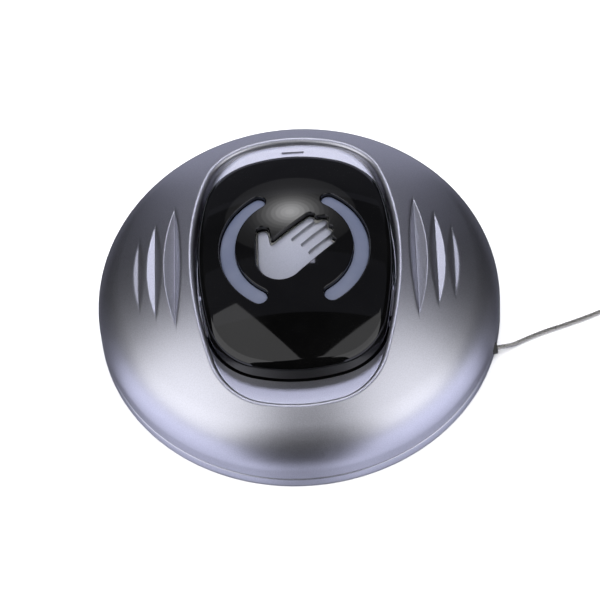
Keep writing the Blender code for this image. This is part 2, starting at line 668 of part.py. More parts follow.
def screw(name, place, head, shank, material_name="steel"):
    """A cross-recess screw: head and shank are (radius, from z, to z), the head's free face first."""
    head_r, free, seat = head
    shank_r, start, end = shank
    away = 1.0 if seat > free else -1.0
    profile = [(0.8 * head_r, free), (head_r, free + away * 0.35), (head_r, seat)]
    profile += [(shank_r, start), (shank_r, end - away * shank_r), (0.35 * shank_r, end)]
    body = turned(name, profile, 12, place)
    arm, slot, depth = 0.62 * head_r, 0.16 * head_r, 0.4 * abs(seat - free)
    low, high = sorted((free - away, free + away * depth))
    x, y = place
    cut(body, box("slot_x", (x - arm, y - slot, low), (x + arm, y + slot, high)))
    cut(body, box("slot_y", (x - slot, y - arm, low), (x + slot, y + arm, high)))
    return finish(body, material_name)


def fasteners():
    for i, place in enumerate(boss_places()):
        screw(f"cover_screw_{i + 1}", place, (2.9, 1.6, 3.7), (1.4, 3.7, 17.0))
    for i, place in enumerate(BOARD_HOLES):
        screw(f"board_screw_{i + 1}", place, (1.9, 12.2, BOARD_Z1 + GAP), (0.9, BOARD_Z1 + GAP, 5.0))
    plate = dome_height(0, RETAINER_SCREW_Y + 1.8) - RETAINER_BOTTOM - GAP
    for name, y in (("retainer_screw_lower", -RETAINER_SCREW_Y),
                    ("retainer_screw_upper", RETAINER_SCREW_Y)):
        screw(name, (0.0, y), (1.7, plate - 1.1, plate), (0.75, plate, plate + 3.6))


# ---------------------------------------------------------------- antenna lead

def lead_grommet():
    """A rubber bush round the lead where it passes the seam."""
    bush = rod("lead_grommet", lead_point(-7.6), lead_point(0.6), 1.7, 16, bore=0.97)
    return finish(bush, "rubber")


def antenna():
    """The lead outside the housing, its coil, its free end and its sleeve, and the tail inside."""
    wire("antenna_tail", smooth_line(TAIL_ROUTE, 3.0), LEAD_R, "tinned_wire")
    wire("antenna_lead", smooth_line(LEAD_ROUTE, 3.0), LEAD_R, "tinned_wire")
    inside, outside = COIL_R - LEAD_R, COIL_R + LEAD_R
    coil = turned("antenna_coil", [
        (inside, COIL_LOW), (outside, COIL_LOW), (outside, COIL_HIGH), (inside, COIL_HIGH),
    ], 40, COIL_CENTRE, closed=True)
    finish(coil, "tinned_wire")
    along = Vector((math.cos(END_HEADING), math.sin(END_HEADING), 0.0))
    start = Vector((*END_START, 2.1))
    knee = start + along * 5.4 - Vector((0, 0, 1.2))
    wire("antenna_end", smooth_line((start, start + along * 2.2 - Vector((0, 0, 0.4)), knee), 2.0),
         LEAD_R, "tinned_wire")
    sleeve = rod("antenna_end_sleeve", knee + along * GAP, knee + along * 6.3, 0.9, 16)
    finish(sleeve, "rubber")


def coil_tie():
    """A strap round both turns of the coil."""
    x, y = COIL_CENTRE[0], COIL_CENTRE[1] + COIL_R
    tie = box("coil_tie", (x - 1.2, y - 1.15, 0.0), (x + 1.2, y + 1.15, 3.25))
    cut(tie, box("through", (x - 3.0, y - 0.9, 0.15), (x + 3.0, y + 0.9, 3.0)))
    return finish(tie, "black_plastic")


def main():
    clear_scene()
    base_plate()
    seal_ring()
    dome_cover()
    push_plate()
    light_guide("light_guide_left", -1)
    light_guide("light_guide_right", 1)
    hand_inlay()
    inlay_retainer()
    hinge_pin()
    return_spring("return_spring_left", -1)
    return_spring("return_spring_right", 1)
    circuit_board()
    switch_body()
    switch_plunger()
    for name, x, y in (("led_upper_left", -1, 1), ("led_upper_right", 1, 1),
                       ("led_lower_left", -1, -1), ("led_lower_right", 1, -1)):
        led(name, x, y)
    chip("encoder_chip", (-5.0, 6.0), (10.0, 4.0, 1.7), "black_plastic")
    chip("radio_shield_can", (4.0, -4.5), (11.0, 9.0, 2.4), "steel")
    chip("crystal", (7.0, 13.0), (4.2, 10.5, 3.2), "steel")
    battery_holder()
    battery()
    battery_contacts()
    fasteners()
    lead_grommet()
    antenna()
    coil_tie()


main()
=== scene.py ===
"""The visible model of the hand-press push button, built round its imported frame.

Sizes are in millimetres and repeat the part's own; MM turns them into metres where a mesh is
made. The object stands with its base on the floor, +Z away from the wall it is made for, and
+Y up that wall.
"""

import math

import bmesh
import bpy
import numpy as np
from mathutils import Matrix, Vector
from mathutils.geometry import delaunay_2d_cdt

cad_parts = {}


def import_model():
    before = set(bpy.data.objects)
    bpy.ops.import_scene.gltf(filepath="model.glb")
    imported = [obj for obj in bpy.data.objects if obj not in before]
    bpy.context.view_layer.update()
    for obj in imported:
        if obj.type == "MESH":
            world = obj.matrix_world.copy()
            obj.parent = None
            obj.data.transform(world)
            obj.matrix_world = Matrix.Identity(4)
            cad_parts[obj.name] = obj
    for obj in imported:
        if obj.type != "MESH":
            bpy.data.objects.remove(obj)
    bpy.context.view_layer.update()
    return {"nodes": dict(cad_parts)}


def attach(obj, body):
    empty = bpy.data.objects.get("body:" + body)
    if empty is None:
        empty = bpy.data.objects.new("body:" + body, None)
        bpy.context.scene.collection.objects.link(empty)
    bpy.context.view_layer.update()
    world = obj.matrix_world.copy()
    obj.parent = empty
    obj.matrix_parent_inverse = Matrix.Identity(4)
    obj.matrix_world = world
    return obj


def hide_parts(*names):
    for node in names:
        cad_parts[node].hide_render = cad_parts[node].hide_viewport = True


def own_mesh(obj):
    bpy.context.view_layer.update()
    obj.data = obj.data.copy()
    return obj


MM = 0.001

# Housing
HOUSING_R = 57.5
RIM_TOP, COVER_BOTTOM = 3.85, 4.15
WALL = 2.2
SHOULDER_R, SHOULDER_Z = 16.3, 7.84
DOME_R, DOME_TOP = 89.5, 36.84
DOME_CENTRE = DOME_TOP - DOME_R
STRAIGHT = HOUSING_R - SHOULDER_R
LEAN = math.atan2(SHOULDER_Z - DOME_CENTRE, STRAIGHT)
TANGENT_R = DOME_R * math.cos(LEAN)

# Recess and push plate: half width, side radius, half length, end radius, corner radius
RIM = (28.4, 102.0, 44.7, 44.7, 18.0)
PLATE = (27.5, 100.0, 36.6, 45.0, 18.0)
SHELF_Z, SHELF_THICK = 22.5, 2.0
PLATE_CLEARANCE = 0.5
PLATE_FOOT_Z = 18.5
PLATE_WALL, PLATE_SKIN = 1.8, 2.2
EDGE_INSET, EDGE_DROP = 2.3, 1.9
NOTCH_HALF_WIDTH, NOTCH_END_Y, NOTCH_DEPTH = 3.15, 42.3, 0.5
RIM_FILLET, FOOT_FILLET = 1.3, 0.25
# The inside's thicker pad under the grooves, and the tub wall round the recess
GROOVE_PAD_DEPTH, PAD_SHARE = 4.8, 0.2
TUB_WALL, TUB_FOOT_WALL = 1.3, 1.2
# The cover's foot at the seam: inset, height above the foot, and lift of its normal
SEAM_PROFILE = ((0.0, 0.9, 0.0), (0.0, 0.28, 0.0), (0.08, 0.08, -0.78), (0.28, 0.0, -1.57))

# Side grooves: crease x and half length, outer edge (x, z), inner edge (x, z)
GROOVES = (
    (34.0, 20.0, (37.15, 28.72), (32.25, 30.80)),
    (39.75, 15.5, (42.20, 26.27), (38.10, 28.30)),
    (44.6, 11.3, (46.20, 24.00), (43.30, 25.70)),
)
GROOVE_ZONE_Y, GROOVE_END_ROOM = 23.6, 2.0
CREASE_BLEND, OUTER_BLEND, INNER_BLEND = 0.28, 0.16, 0.5

# Light guides and hand inlay
GUIDE_R, GUIDE_HALF_WIDTH, GUIDE_HALF_ANGLE = 18.85, 2.15, math.radians(57.9)
GUIDE_SINK, HAND_SINK, INLAY_FOOT_SINK = 1.5, 2.0, 3.0
GUIDE_FILLET, HAND_FILLET, POCKET_FILLET = 0.25, 0.22, 0.28
HAND_ANGLE = math.radians(43.0)
PALM_CENTRE, PALM_R = (-3.9, -4.75), 6.45
THUMB_CENTRE, THUMB_R = (-8.78, 4.78), 1.57
CROTCH = (-6.55, 0.95)
FINGERS = ((8.2, -6.3, 0.97), (10.5, -3.05, 1.05), (11.9, 0.3, 1.05), (9.8, 3.6, 1.15))
FINGER_GAPS = ((1.9, -4.7), (2.2, -1.37), (1.6, 1.9))
FINGER_GAP_WIDTH, FINGER_GAP_DEPTH, FINGER_GAP_SLOPE = 1.45, 0.95, 0.4
GUIDE_CLEARANCE, POCKET_CLEARANCE, POCKET_SOFTENING = 0.12, 0.3, 0.45

# Springs
SPRING_X, SPRING_Y = 16.0, -27.0
SPRING_LOW, SPRING_HIGH = 10.3, 22.6
SPRING_R, SPRING_WIRE_R, SPRING_TURNS = 2.85, 0.35, 5
DEAD_TURNS = 0.8

# Base
BASE_FLOOR, BASE_RIM, BASE_CHAMFER = 2.0, 2.0, 0.7
LIP_OUT_R, LIP_IN_R, LIP_TOP = 53.9, 52.0, 7.5
BOSS_CIRCLE, SCREW_WELL_R, SCREW_WELL_DEPTH = 46.0, 3.4, 1.2
KEYHOLE_X, KEYHOLE_HEAD_Y, KEYHOLE_HEAD_R = 30.0, -3.0, 4.6
KEYHOLE_SLOT_Y, KEYHOLE_SLOT_R = 5.0, 2.5

# Antenna lead: its bush, its route, then two turns of coil and its free end
LEAD_R = 0.65
LEAD_EXIT = (55.16, -16.24, 3.0)
LEAD_HEADING = math.radians(12.0)
LEAD_ARCH_R = 2.0
BUSH_DEPTH, BUSH_LENGTH, BUSH_R, BUSH_BORE = 7.6, 8.2, 1.7, 0.7
LEAD_ROUTE = (
    (55.16, -16.24, 3.0), (55.94, -16.05, 2.95), (58.2, -15.3, 2.3), (60.3, -14.35, 1.4),
    (62.6, -13.1, 1.0), (65.3, -11.8, 0.9), (70.5, -9.75, 0.9), (77.0, -7.6, 0.9),
    (84.0, -5.0, 0.9), (90.3, -2.2, 0.9), (94.6, -0.16, 0.9),
)
COIL_CENTRE, COIL_R = (96.5, 8.0), 6.6
COIL_START, COIL_SWEEP = math.radians(-65.0), math.radians(666.0)
COIL_RISE = (math.radians(290.0), math.radians(358.0))
COIL_LOW_Z, COIL_HIGH_Z = 0.9, 2.2
END_HEADING = math.radians(-29.0)
END_FALL = (3.9, 10.4)
END_REACH = 11.2
SLEEVE_LENGTH, SLEEVE_R, SLEEVE_BORE, SLEEVE_OVERLAP = 6.0, 0.9, 0.4, 0.6

# Camera
CAMERA_PLACE = (25.10, -563.96, 833.69)
CAMERA_RIGHT = (0.99849146, -0.02650839, -0.04808442)
CAMERA_UP = (0.0489986, 0.82537444, 0.56245549)
CAMERA_LENS, CAMERA_SENSOR = 209.56, 36.0

# Studio
WARM_TINT = (1.0, 1.0, 1.02)
COOL_TINT = (0.92, 0.94, 1.18)
FLOOR_R, FLOOR_THICK = 900.0, 10.0


# ---------------------------------------------------------------- outlines


def units(angles):
    """Unit vectors at the angles."""
    return np.stack([np.cos(angles), np.sin(angles)], 1)


def circle(count):
    """Unit vectors at even angles all round."""
    return units(np.arange(count) * 2 * math.pi / count)


def arc(centre, radius, start, end, steps):
    return np.array(centre) + radius * units(np.linspace(start, end, steps + 1))


def raised(points, z):
    """Flat points lifted to z, which is one height or one for each."""
    return np.column_stack([points, np.broadcast_to(z, len(points))])


def plate_arcs(shape):
    """Centre, radius and angles of the side, corner and end arcs in the first quarter."""
    half_width, side_r, half_length, end_r, corner_r = shape
    side_x, end_y = half_width - side_r, half_length - end_r
    a, b = side_r - corner_r, end_r - corner_r
    apart = math.hypot(side_x, end_y)
    along = (a * a - b * b + apart * apart) / (2 * apart)
    across = math.sqrt(a * a - along * along)
    ux, uy = -side_x / apart, end_y / apart
    corner = (side_x + along * ux - across * uy, along * uy + across * ux)
    first = math.atan2(corner[1], corner[0] - side_x)
    second = math.atan2(corner[1] - end_y, corner[0])
    return (
        ((side_x, 0.0), side_r, 0.0, first),
        (corner, corner_r, first, second),
        ((0.0, end_y), end_r, second, math.pi / 2),
    )


def plate_outline(shape, steps):
    """Points and outward normals round a plate whose sides, corners and ends are tangent arcs."""
    places, turns = [], []
    for (centre, radius, start, end), count in zip(plate_arcs(shape), steps):
        places.append(arc(centre, radius, start, end, count)[:-1])
        turns.append(np.linspace(start, end, count + 1)[:-1])
    places, turns = np.concatenate(places), np.concatenate(turns)
    top = np.array([[0.0, shape[2]]])
    right = np.concatenate([places, top])
    turns = np.concatenate([turns, [math.pi / 2]])
    half = np.concatenate([right, right[::-1][1:] * (-1, 1)])
    half_turns = np.concatenate([turns, math.pi - turns[::-1][1:]])
    whole = np.concatenate([half, half[1:-1] * (-1, -1)])
    whole_turns = np.concatenate([half_turns, half_turns[1:-1] + math.pi])
    return whole, units(whole_turns)


def guide_outline(side, steps=(64, 14)):
    """Points and outward normals of one arc-shaped light guide with round ends."""
    r, half, turn = GUIDE_R, GUIDE_HALF_WIDTH, GUIDE_HALF_ANGLE
    top = (r * math.cos(turn), r * math.sin(turn))
    low = (top[0], -top[1])
    runs = (
        ((0, 0), r + half, -turn, turn, steps[0], 1),
        (top, half, turn, turn + math.pi, steps[1], 1),
        ((0, 0), r - half, turn, -turn, steps[0], -1),
        (low, half, math.pi - turn, 2 * math.pi - turn, steps[1], 1),
    )
    places, normals = [], []
    for centre, radius, start, end, count, way in runs:
        places.append(arc(centre, radius, start, end, count)[:-1])
        normals.append(arc((0, 0), way, start, end, count)[:-1])
    places, normals = np.concatenate(places), np.concatenate(normals)
    if side < 0:
        places, normals = places[::-1] * (-1, 1), normals[::-1] * (-1, 1)
    return places, normals


def hand_frame(u, v):
    """A point from the hand's own axes, u along the fingers, into x and y."""
    c, s = math.cos(HAND_ANGLE), math.sin(HAND_ANGLE)
    return u * c - v * s, u * s + v * c


def hand_outline():
    """An open right hand: round palm, four fingertips and an upright thumb, anticlockwise."""
    quarter = math.pi / 2
    runs = [arc(PALM_CENTRE, PALM_R, math.pi, 2 * math.pi + HAND_ANGLE - quarter, 40)]
    for i, (u, v, r) in enumerate(FINGERS):
        start = -quarter if i == 0 else -0.7 * quarter
        end = quarter if i == len(FINGERS) - 1 else 0.7 * quarter
        runs.append(arc(hand_frame(u, v), r, HAND_ANGLE + start, HAND_ANGLE + end, 12))
    runs.append(np.array([CROTCH]))
    runs.append(arc(THUMB_CENTRE, THUMB_R, 0.0, math.pi, 16))
    return np.concatenate(runs)


def distances(line):
    """How far along the line each of its points lies."""
    lengths = np.linalg.norm(np.diff(line, axis=0), axis=1)
    return np.concatenate([[0], np.cumsum(lengths)])


def resampled(line, spacing, closed=True):
    """The line again, with points one even spacing apart."""
    if closed:
        line = np.concatenate([line, line[:1]])
    along = distances(line)
    at = np.linspace(0, along[-1], int(round(along[-1] / spacing)) + 1)
    if closed:
        at = at[:-1]
    return np.stack([np.interp(at, along, column) for column in line.T], 1)


def loop_normals(loop):
    """Outward normals of an anticlockwise loop."""
    tangent = np.roll(loop, -1, 0) - np.roll(loop, 1, 0)
    tangent /= np.linalg.norm(tangent, axis=1, keepdims=True)
    return np.stack([tangent[:, 1], -tangent[:, 0]], 1)


def signed_distance(points, loop):
    """Distance of points from a closed loop, negative inside."""
    a, b = loop, np.roll(loop, -1, 0)
    edge = b - a
    to = points[:, None, :] - a[None]
    share = np.clip((to * edge).sum(2) / (edge**2).sum(1), 0, 1)
    distance = np.linalg.norm(to - share[..., None] * edge, axis=2).min(1)
    y, ay, by = points[:, 1:2], a[None, :, 1], b[None, :, 1]
    crosses = (ay > y) != (by > y)
    rise = np.where(by == ay, 1e-12, by - ay)
    at = a[None, :, 0] + (y - ay) / rise * (b[None, :, 0] - a[None, :, 0])
    inside = (crosses & (points[:, 0:1] < at)).sum(1) % 2 == 1
    return np.where(inside, -distance, distance)


def contour(loop, distance, cell=0.08):
    """The loop moved out by distance with round joins, traced on a grid of signed distances."""
    low, high = loop.min(0) - abs(distance) - 1, loop.max(0) + abs(distance) + 1
    nx, ny = np.ceil((high - low) / cell).astype(int) + 1
    xs, ys = low[0] + cell * np.arange(nx), low[1] + cell * np.arange(ny)
    grid = np.stack(np.meshgrid(xs, ys, indexing="ij"), -1).reshape(-1, 2)
    parts = [signed_distance(part, loop) for part in np.array_split(grid, 40)]
    field = (np.concatenate(parts) - distance).reshape(nx, ny)
    return trace(field, xs, ys)


def trace(field, xs, ys):
    """The longest closed zero line of a field on a grid, anticlockwise."""
    ends = {}

    def crossing(i, j, k, m):
        t = field[i, j] / (field[i, j] - field[k, m])
        return (xs[i] + t * (xs[k] - xs[i]), ys[j] + t * (ys[m] - ys[j]))

    sign = field < 0
    mixed = sign[:-1, :-1].astype(int) + sign[1:, :-1] + sign[:-1, 1:] + sign[1:, 1:]
    for i, j in zip(*np.where((mixed > 0) & (mixed < 4))):
        corners = ((i, j), (i + 1, j), (i + 1, j + 1), (i, j + 1))
        hits = []
        for a in range(4):
            one, two = corners[a], corners[(a + 1) % 4]
            if sign[one] != sign[two]:
                key = (one, two) if one < two else (two, one)
                hits.append((key, sign[one]))
        leaving = [h[0] for h in hits if h[1]]
        arriving = [h[0] for h in hits if not h[1]]
        for a, b in zip(arriving, leaving):
            ends[a] = b
    best = []
    while ends:
        start = next(iter(ends))
        line, here = [], start
        while here in ends:
            line.append(here)
            here = ends.pop(here)
        if len(line) > len(best):
            best = line
    points = np.array([crossing(*a, *b) for a, b in best])
    area = (points[:, 0] * np.roll(points[:, 1], -1) - np.roll(points[:, 0], -1) * points[:, 1]).sum()
    return points if area > 0 else points[::-1]


# ---------------------------------------------------------------- surfaces


def dome(x, y, sink=0.0):
    return DOME_CENTRE + np.sqrt((DOME_R - sink) ** 2 - x * x - y * y)


def dome_normal(x, y):
    n = np.stack([x, y, dome(x, y) - DOME_CENTRE], -1)
    return n / np.linalg.norm(n, axis=-1, keepdims=True)


def smooth_min(a, b, width):
    overlap = np.clip(1 - np.abs(a - b) / width, 0, None)
    return np.minimum(a, b) - overlap**2 * width / 4


def cover_height(x, y):
    """The dome with its six grooves cut in, each between two planes that meet on its crease."""
    height = dome(x, y)
    side = np.abs(x)
    for crease_x, half_length, outer, inner in GROOVES:
        crease_z = dome(crease_x, half_length)
        facet = crease_z + (side - crease_x) * (outer[1] - crease_z) / (outer[0] - crease_x)
        wall = crease_z + (crease_x - side) * (inner[1] - crease_z) / (crease_x - inner[0])
        floor = -smooth_min(-facet, -wall, CREASE_BLEND)
        blend = np.where(side > crease_x, OUTER_BLEND, INNER_BLEND)
        near = np.abs(y) < half_length + GROOVE_END_ROOM
        height = np.where(near, smooth_min(height, floor, blend), height)
    return height


def height_normal(function, x, y, step=0.01):
    """Upward normals of a height function."""
    gx = (function(x + step, y) - function(x - step, y)) / (2 * step)
    gy = (function(x, y + step) - function(x, y - step)) / (2 * step)
    n = np.stack([-gx, -gy, np.ones_like(gx)], -1)
    return n / np.linalg.norm(n, axis=-1, keepdims=True)


class Form:
    """Points, the normals that are known exactly, and faces, gathered for one object."""

    def __init__(self):
        self.points, self.normals, self.faces = [], [], []

    def add(self, points, normals=None):
        """Add points and give their numbers. A normal of zeros is worked out from the faces."""
        points = np.asarray(points, float)
        first = sum(len(p) for p in self.points)
        self.points.append(points)
        self.normals.append(np.zeros_like(points) if normals is None else np.asarray(normals, float))
        return np.arange(first, first + len(points))

    def bridge(self, one, two, closed=True):
        """Quads between two rows of points with equal counts."""
        one, two = np.asarray(one), np.asarray(two)
        if closed:
            quads = np.stack([one, np.roll(one, -1), np.roll(two, -1), two], 1)
        else:
            quads = np.stack([one[:-1], one[1:], two[1:], two[:-1]], 1)
        self.faces.extend(quads.tolist())

    def loft(self, rings, normals=None):
        """Add rings of points and bridge each to the next; gives the first and last ring."""
        numbers = []
        for i, ring in enumerate(rings):
            numbers.append(self.add(ring, None if normals is None else normals[i]))
        for one, two in zip(numbers, numbers[1:]):
            self.bridge(one, two)
        return numbers[0], numbers[-1]

    def solid(self, rings):
        """Loft the rings and close both ends with a face."""
        first, last = self.loft(rings)
        self.faces += [first[::-1].tolist(), last.tolist()]

    def sheet(self, outer, holes, spacing, height, normal=None, extra=()):
        """Triangles between an outer ring and holes, their points given by number, with inner
        points one spacing apart on the height function."""
        every = np.concatenate(self.points)
        loops = [np.asarray(loop) for loop in (outer, *holes)]
        flat = [every[loop][:, :2] for loop in loops]
        low, high = flat[0].min(0), flat[0].max(0)
        inner = []
        for i, y in enumerate(np.arange(low[1] + 0.5 * spacing, high[1], spacing * 0.866)):
            xs = np.arange(low[0] + (0.5 if i % 2 else 0.0) * spacing, high[0], spacing)
            inner.append(np.stack([xs, np.full_like(xs, y)], 1))
        inner = np.concatenate(inner + list(extra))

        def between(points, room):
            clear = signed_distance(points, flat[0]) < -room
            for hole in flat[1:]:
                clear &= signed_distance(points, hole) > room
            return clear

        def on_surface(points):
            return self.add(raised(points, height(*points.T)), normal(*points.T) if normal else None)

        inner = inner[between(inner, 0.45 * spacing)]
        edges, first = [], 0
        for loop in loops:
            count = len(loop)
            edges += [(first + i, first + (i + 1) % count) for i in range(count)]
            first += count
        places = [Vector(p) for p in np.concatenate(flat + [inner])]
        result = delaunay_2d_cdt(places, edges, [], 0, 1e-6)
        co, triangles, origin = np.array([tuple(v) for v in result[0]]), np.array(result[2]), result[3]
        numbers = np.concatenate([*loops, on_surface(inner)])
        back = np.array([numbers[o[0]] if o else -1 for o in origin])
        made = back < 0
        back[made] = on_surface(co[made])
        wanted = between(co[triangles].mean(1), 0.0)
        self.faces.extend(back[triangles[wanted]].tolist())

    def build(self, name, material, sharp=35.0):
        """Make the object, facing out, with the exact normals where they are known."""
        mesh = bpy.data.meshes.new(name)
        mesh.from_pydata((np.concatenate(self.points) * MM).tolist(), [], self.faces)
        bm = bmesh.new()
        bm.from_mesh(mesh)
        bmesh.ops.recalc_face_normals(bm, faces=bm.faces)
        bm.to_mesh(mesh)
        bm.free()
        mesh.shade_smooth()
        mesh.set_sharp_from_angle(angle=math.radians(sharp))
        known = np.concatenate(self.normals)
        if np.any(known):
            corner = values_of(mesh.corner_normals, "vector", 3)
            sides = values_of(mesh.polygons, "loop_total", 1, int)[:, 0]
            face_normal = np.repeat(values_of(mesh.polygons, "normal", 3), sides, axis=0)
            exact = known[values_of(mesh.loops, "vertex_index", 1, int)[:, 0]]
            agrees = (exact * face_normal).sum(1) > math.cos(math.radians(50))
            corner[agrees] = exact[agrees]
            mesh.normals_split_custom_set(corner.tolist())
        obj = bpy.data.objects.new(name, mesh)
        bpy.context.scene.collection.objects.link(obj)
        coat(obj, material)
        return obj


def values_of(items, attribute, width, kind=float):
    """One attribute of all the items, a row for each."""
    values = np.zeros(len(items) * width, kind)
    items.foreach_get(attribute, values)
    return values.reshape(-1, width)


def coat(obj, material):
    obj.data.materials.clear()
    obj.data.materials.append(material)


# ---------------------------------------------------------------- materials

# Dark and light tone, range of roughness, metallic, grain per millimetre, relief in millimetres
FINISHES = {
    "silver_paint": ((0.58, 0.585, 0.64), (0.68, 0.685, 0.75), (0.36, 0.44), 1.0, 3.2, 0.0035),
    "gloss_black": ((0.001, 0.001, 0.001), (0.002, 0.002, 0.002), (0.03, 0.05), 0.0, 0.08, 0.0),
    "inlay_silver": ((0.36, 0.37, 0.41), (0.44, 0.45, 0.49), (0.40, 0.48), 0.9, 4.0, 0.003),
    "guide_grey": ((0.075, 0.088, 0.135), (0.09, 0.102, 0.15), (0.30, 0.40), 0.0, 0.15, 0.0),
    "steel": ((0.50, 0.50, 0.50), (0.66, 0.66, 0.65), (0.22, 0.38), 1.0, 1.5, 0.004),
    "black_plastic": ((0.012, 0.012, 0.012), (0.03, 0.03, 0.03), (0.40, 0.55), 0.0, 2.0, 0.01),
    "white_plastic": ((0.66, 0.66, 0.62), (0.74, 0.74, 0.71), (0.38, 0.5), 0.0, 0.8, 0.004),
    "board_green": ((0.008, 0.09, 0.035), (0.015, 0.14, 0.055), (0.3, 0.45), 0.0, 0.6, 0.01),
    "rubber": ((0.010, 0.010, 0.010), (0.026, 0.026, 0.025), (0.62, 0.8), 0.0, 3.0, 0.012),
    "led_clear": ((0.60, 0.66, 0.74), (0.72, 0.77, 0.82), (0.08, 0.16), 0.0, 0.5, 0.0),
    "battery_wrap": ((0.02, 0.03, 0.09), (0.05, 0.07, 0.17), (0.25, 0.4), 0.3, 0.3, 0.0),
    "tinned_wire": ((0.36, 0.35, 0.33), (0.60, 0.59, 0.56), (0.25, 0.45), 1.0, 2.5, 0.006),
    "floor_white": ((0.86, 0.86, 0.86), (0.90, 0.90, 0.90), (0.7, 0.8), 0.0, 0.02, 0.0),
}
# The noise's values at the dark and light tone, and at the ends of the roughness range
TONE_STOPS, ROUGH_STOPS = (0.32, 0.68), (0.3, 0.7)


def finish_material(name, dark, light, rough, metallic, grain, relief):
    """A finish whose tone, roughness and relief follow fine noise on the object's own coordinates."""
    made = bpy.data.materials.new(name)
    made.use_nodes = True
    tree = made.node_tree
    shader = tree.nodes["Principled BSDF"]
    shader.inputs["Metallic"].default_value = metallic
    place = tree.nodes.new("ShaderNodeTexCoord")
    noise = tree.nodes.new("ShaderNodeTexNoise")
    noise.inputs["Scale"].default_value = grain / MM
    noise.inputs["Detail"].default_value = 3.0
    tree.links.new(place.outputs["Object"], noise.inputs["Vector"])
    tones = tree.nodes.new("ShaderNodeValToRGB")
    for element, stop, tone in zip(tones.color_ramp.elements, TONE_STOPS, (dark, light)):
        element.position = stop
        element.color = (*tone, 1.0)
    tree.links.new(noise.outputs["Fac"], tones.inputs["Fac"])
    tree.links.new(tones.outputs["Color"], shader.inputs["Base Color"])
    spread = tree.nodes.new("ShaderNodeMapRange")
    for socket, value in zip(("From Min", "From Max", "To Min", "To Max"), (*ROUGH_STOPS, *rough)):
        spread.inputs[socket].default_value = value
    tree.links.new(noise.outputs["Fac"], spread.inputs["Value"])
    tree.links.new(spread.outputs["Result"], shader.inputs["Roughness"])
    if relief:
        bump = tree.nodes.new("ShaderNodeBump")
        bump.inputs["Strength"].default_value = 1.0
        bump.inputs["Distance"].default_value = relief * MM
        tree.links.new(noise.outputs["Fac"], bump.inputs["Height"])
        tree.links.new(bump.outputs["Normal"], shader.inputs["Normal"])
    return made


# ---------------------------------------------------------------- housing


def lead_arch(x, y):
    """Height of the lead's round hole in the wall at a point of it, or zero beside the hole."""
    across = (y - LEAD_EXIT[1]) * math.cos(LEAD_HEADING) - (x - LEAD_EXIT[0]) * math.sin(LEAD_HEADING)
    inside = np.clip(LEAD_ARCH_R**2 - across**2, 0, None)
    return np.where((x > 0) & (inside > 0), LEAD_EXIT[2] + np.sqrt(inside), 0.0)


def fillet_profile(slope, radius, steps):
    """Offsets, drops below the wall's upper end and normals of a round edge between a surface
    that falls outwards by slope and a vertical wall."""
    start = math.pi / 2 - np.arctan(-slope)
    stretch = np.sqrt(1 + slope**2)
    centre_drop = -slope * radius + radius * stretch
    for i in range(steps + 1):
        turn = start + (math.pi - start) * i / steps
        yield radius * (1 + np.cos(turn)), centre_drop - radius * np.sin(turn), turn


def station_rows():
    """Points on the recess rim that each start a row of the cover, their outward normals, and
    how many lie beside the grooves and how many round each end."""
    arcs = plate_arcs(RIM)
    (side_centre, side_r, _, first), (_, _, _, second), _ = arcs
    zone = math.asin(GROOVE_ZONE_Y / (side_r + RIM_FILLET * 1.95))
    side_turns = np.linspace(-zone, zone, 150)
    side = np.array(side_centre) + side_r * units(side_turns)
    fan = np.concatenate([
        np.linspace(zone, first, 14)[1:-1], np.linspace(first, second, 46)[:-1],
        np.linspace(second, math.pi / 2, 26),
    ])
    which = np.searchsorted((first, second), fan, side="right")
    centres = np.array([arcs[i][0] for i in which])
    radii = np.array([arcs[i][1] for i in which])
    top = centres + radii[:, None] * units(fan)
    top = np.concatenate([top, top[::-1][1:] * (-1, 1)])
    top_out = units(fan)
    top_out = np.concatenate([top_out, top_out[::-1][1:] * (-1, 1)])
    side_out = units(side_turns)
    rim = np.concatenate([side, top, -side, -top])
    return rim, np.concatenate([side_out, top_out, -side_out, -top_out]), len(side), len(top)


def groove_columns(y, start, end):
    """Positions across the cover's side, following every edge of the grooves at this y."""
    marks = [start]
    before = start
    for crease_x, half_length, outer, inner in GROOVES:
        crease_z = dome(crease_x, half_length)
        edges = []
        for edge in (inner, outer):
            slope = (edge[1] - crease_z) / (edge[0] - crease_x)
            a = 1 + slope**2
            c0 = crease_z - DOME_CENTRE - slope * crease_x
            b = 2 * slope * c0
            c = c0**2 + y * y - DOME_R**2
            root = math.sqrt(max(b * b - 4 * a * c, 0))
            near = min(((-b + root) / (2 * a), (-b - root) / (2 * a)), key=lambda r: abs(r - edge[0]))
            edges.append(near)
        if abs(y) >= half_length:
            edges = [crease_x, crease_x]
        low, high = min(edges[0], crease_x - 0.1), max(edges[1], crease_x + 0.1)
        marks += list(np.linspace(before, low - 0.3, 7)[1:])
        marks += [low - 0.15, low - 0.05, low + 0.04]
        marks += list(np.linspace(low + 0.12, crease_x - 0.12, 4))
        marks += [crease_x - 0.06, crease_x, crease_x + 0.06]
        marks += list(np.linspace(crease_x + 0.14, high - 0.35, 5))
        marks += [high - 0.2, high - 0.08, high, high + 0.08, high + 0.2]
        before = high + 0.35
        marks.append(before)
    marks += list(np.linspace(before, end, 9)[1:])
    marks = np.array(marks)
    for i in range(1, len(marks)):
        marks[i] = max(marks[i], marks[i - 1] + 0.012)
    return marks


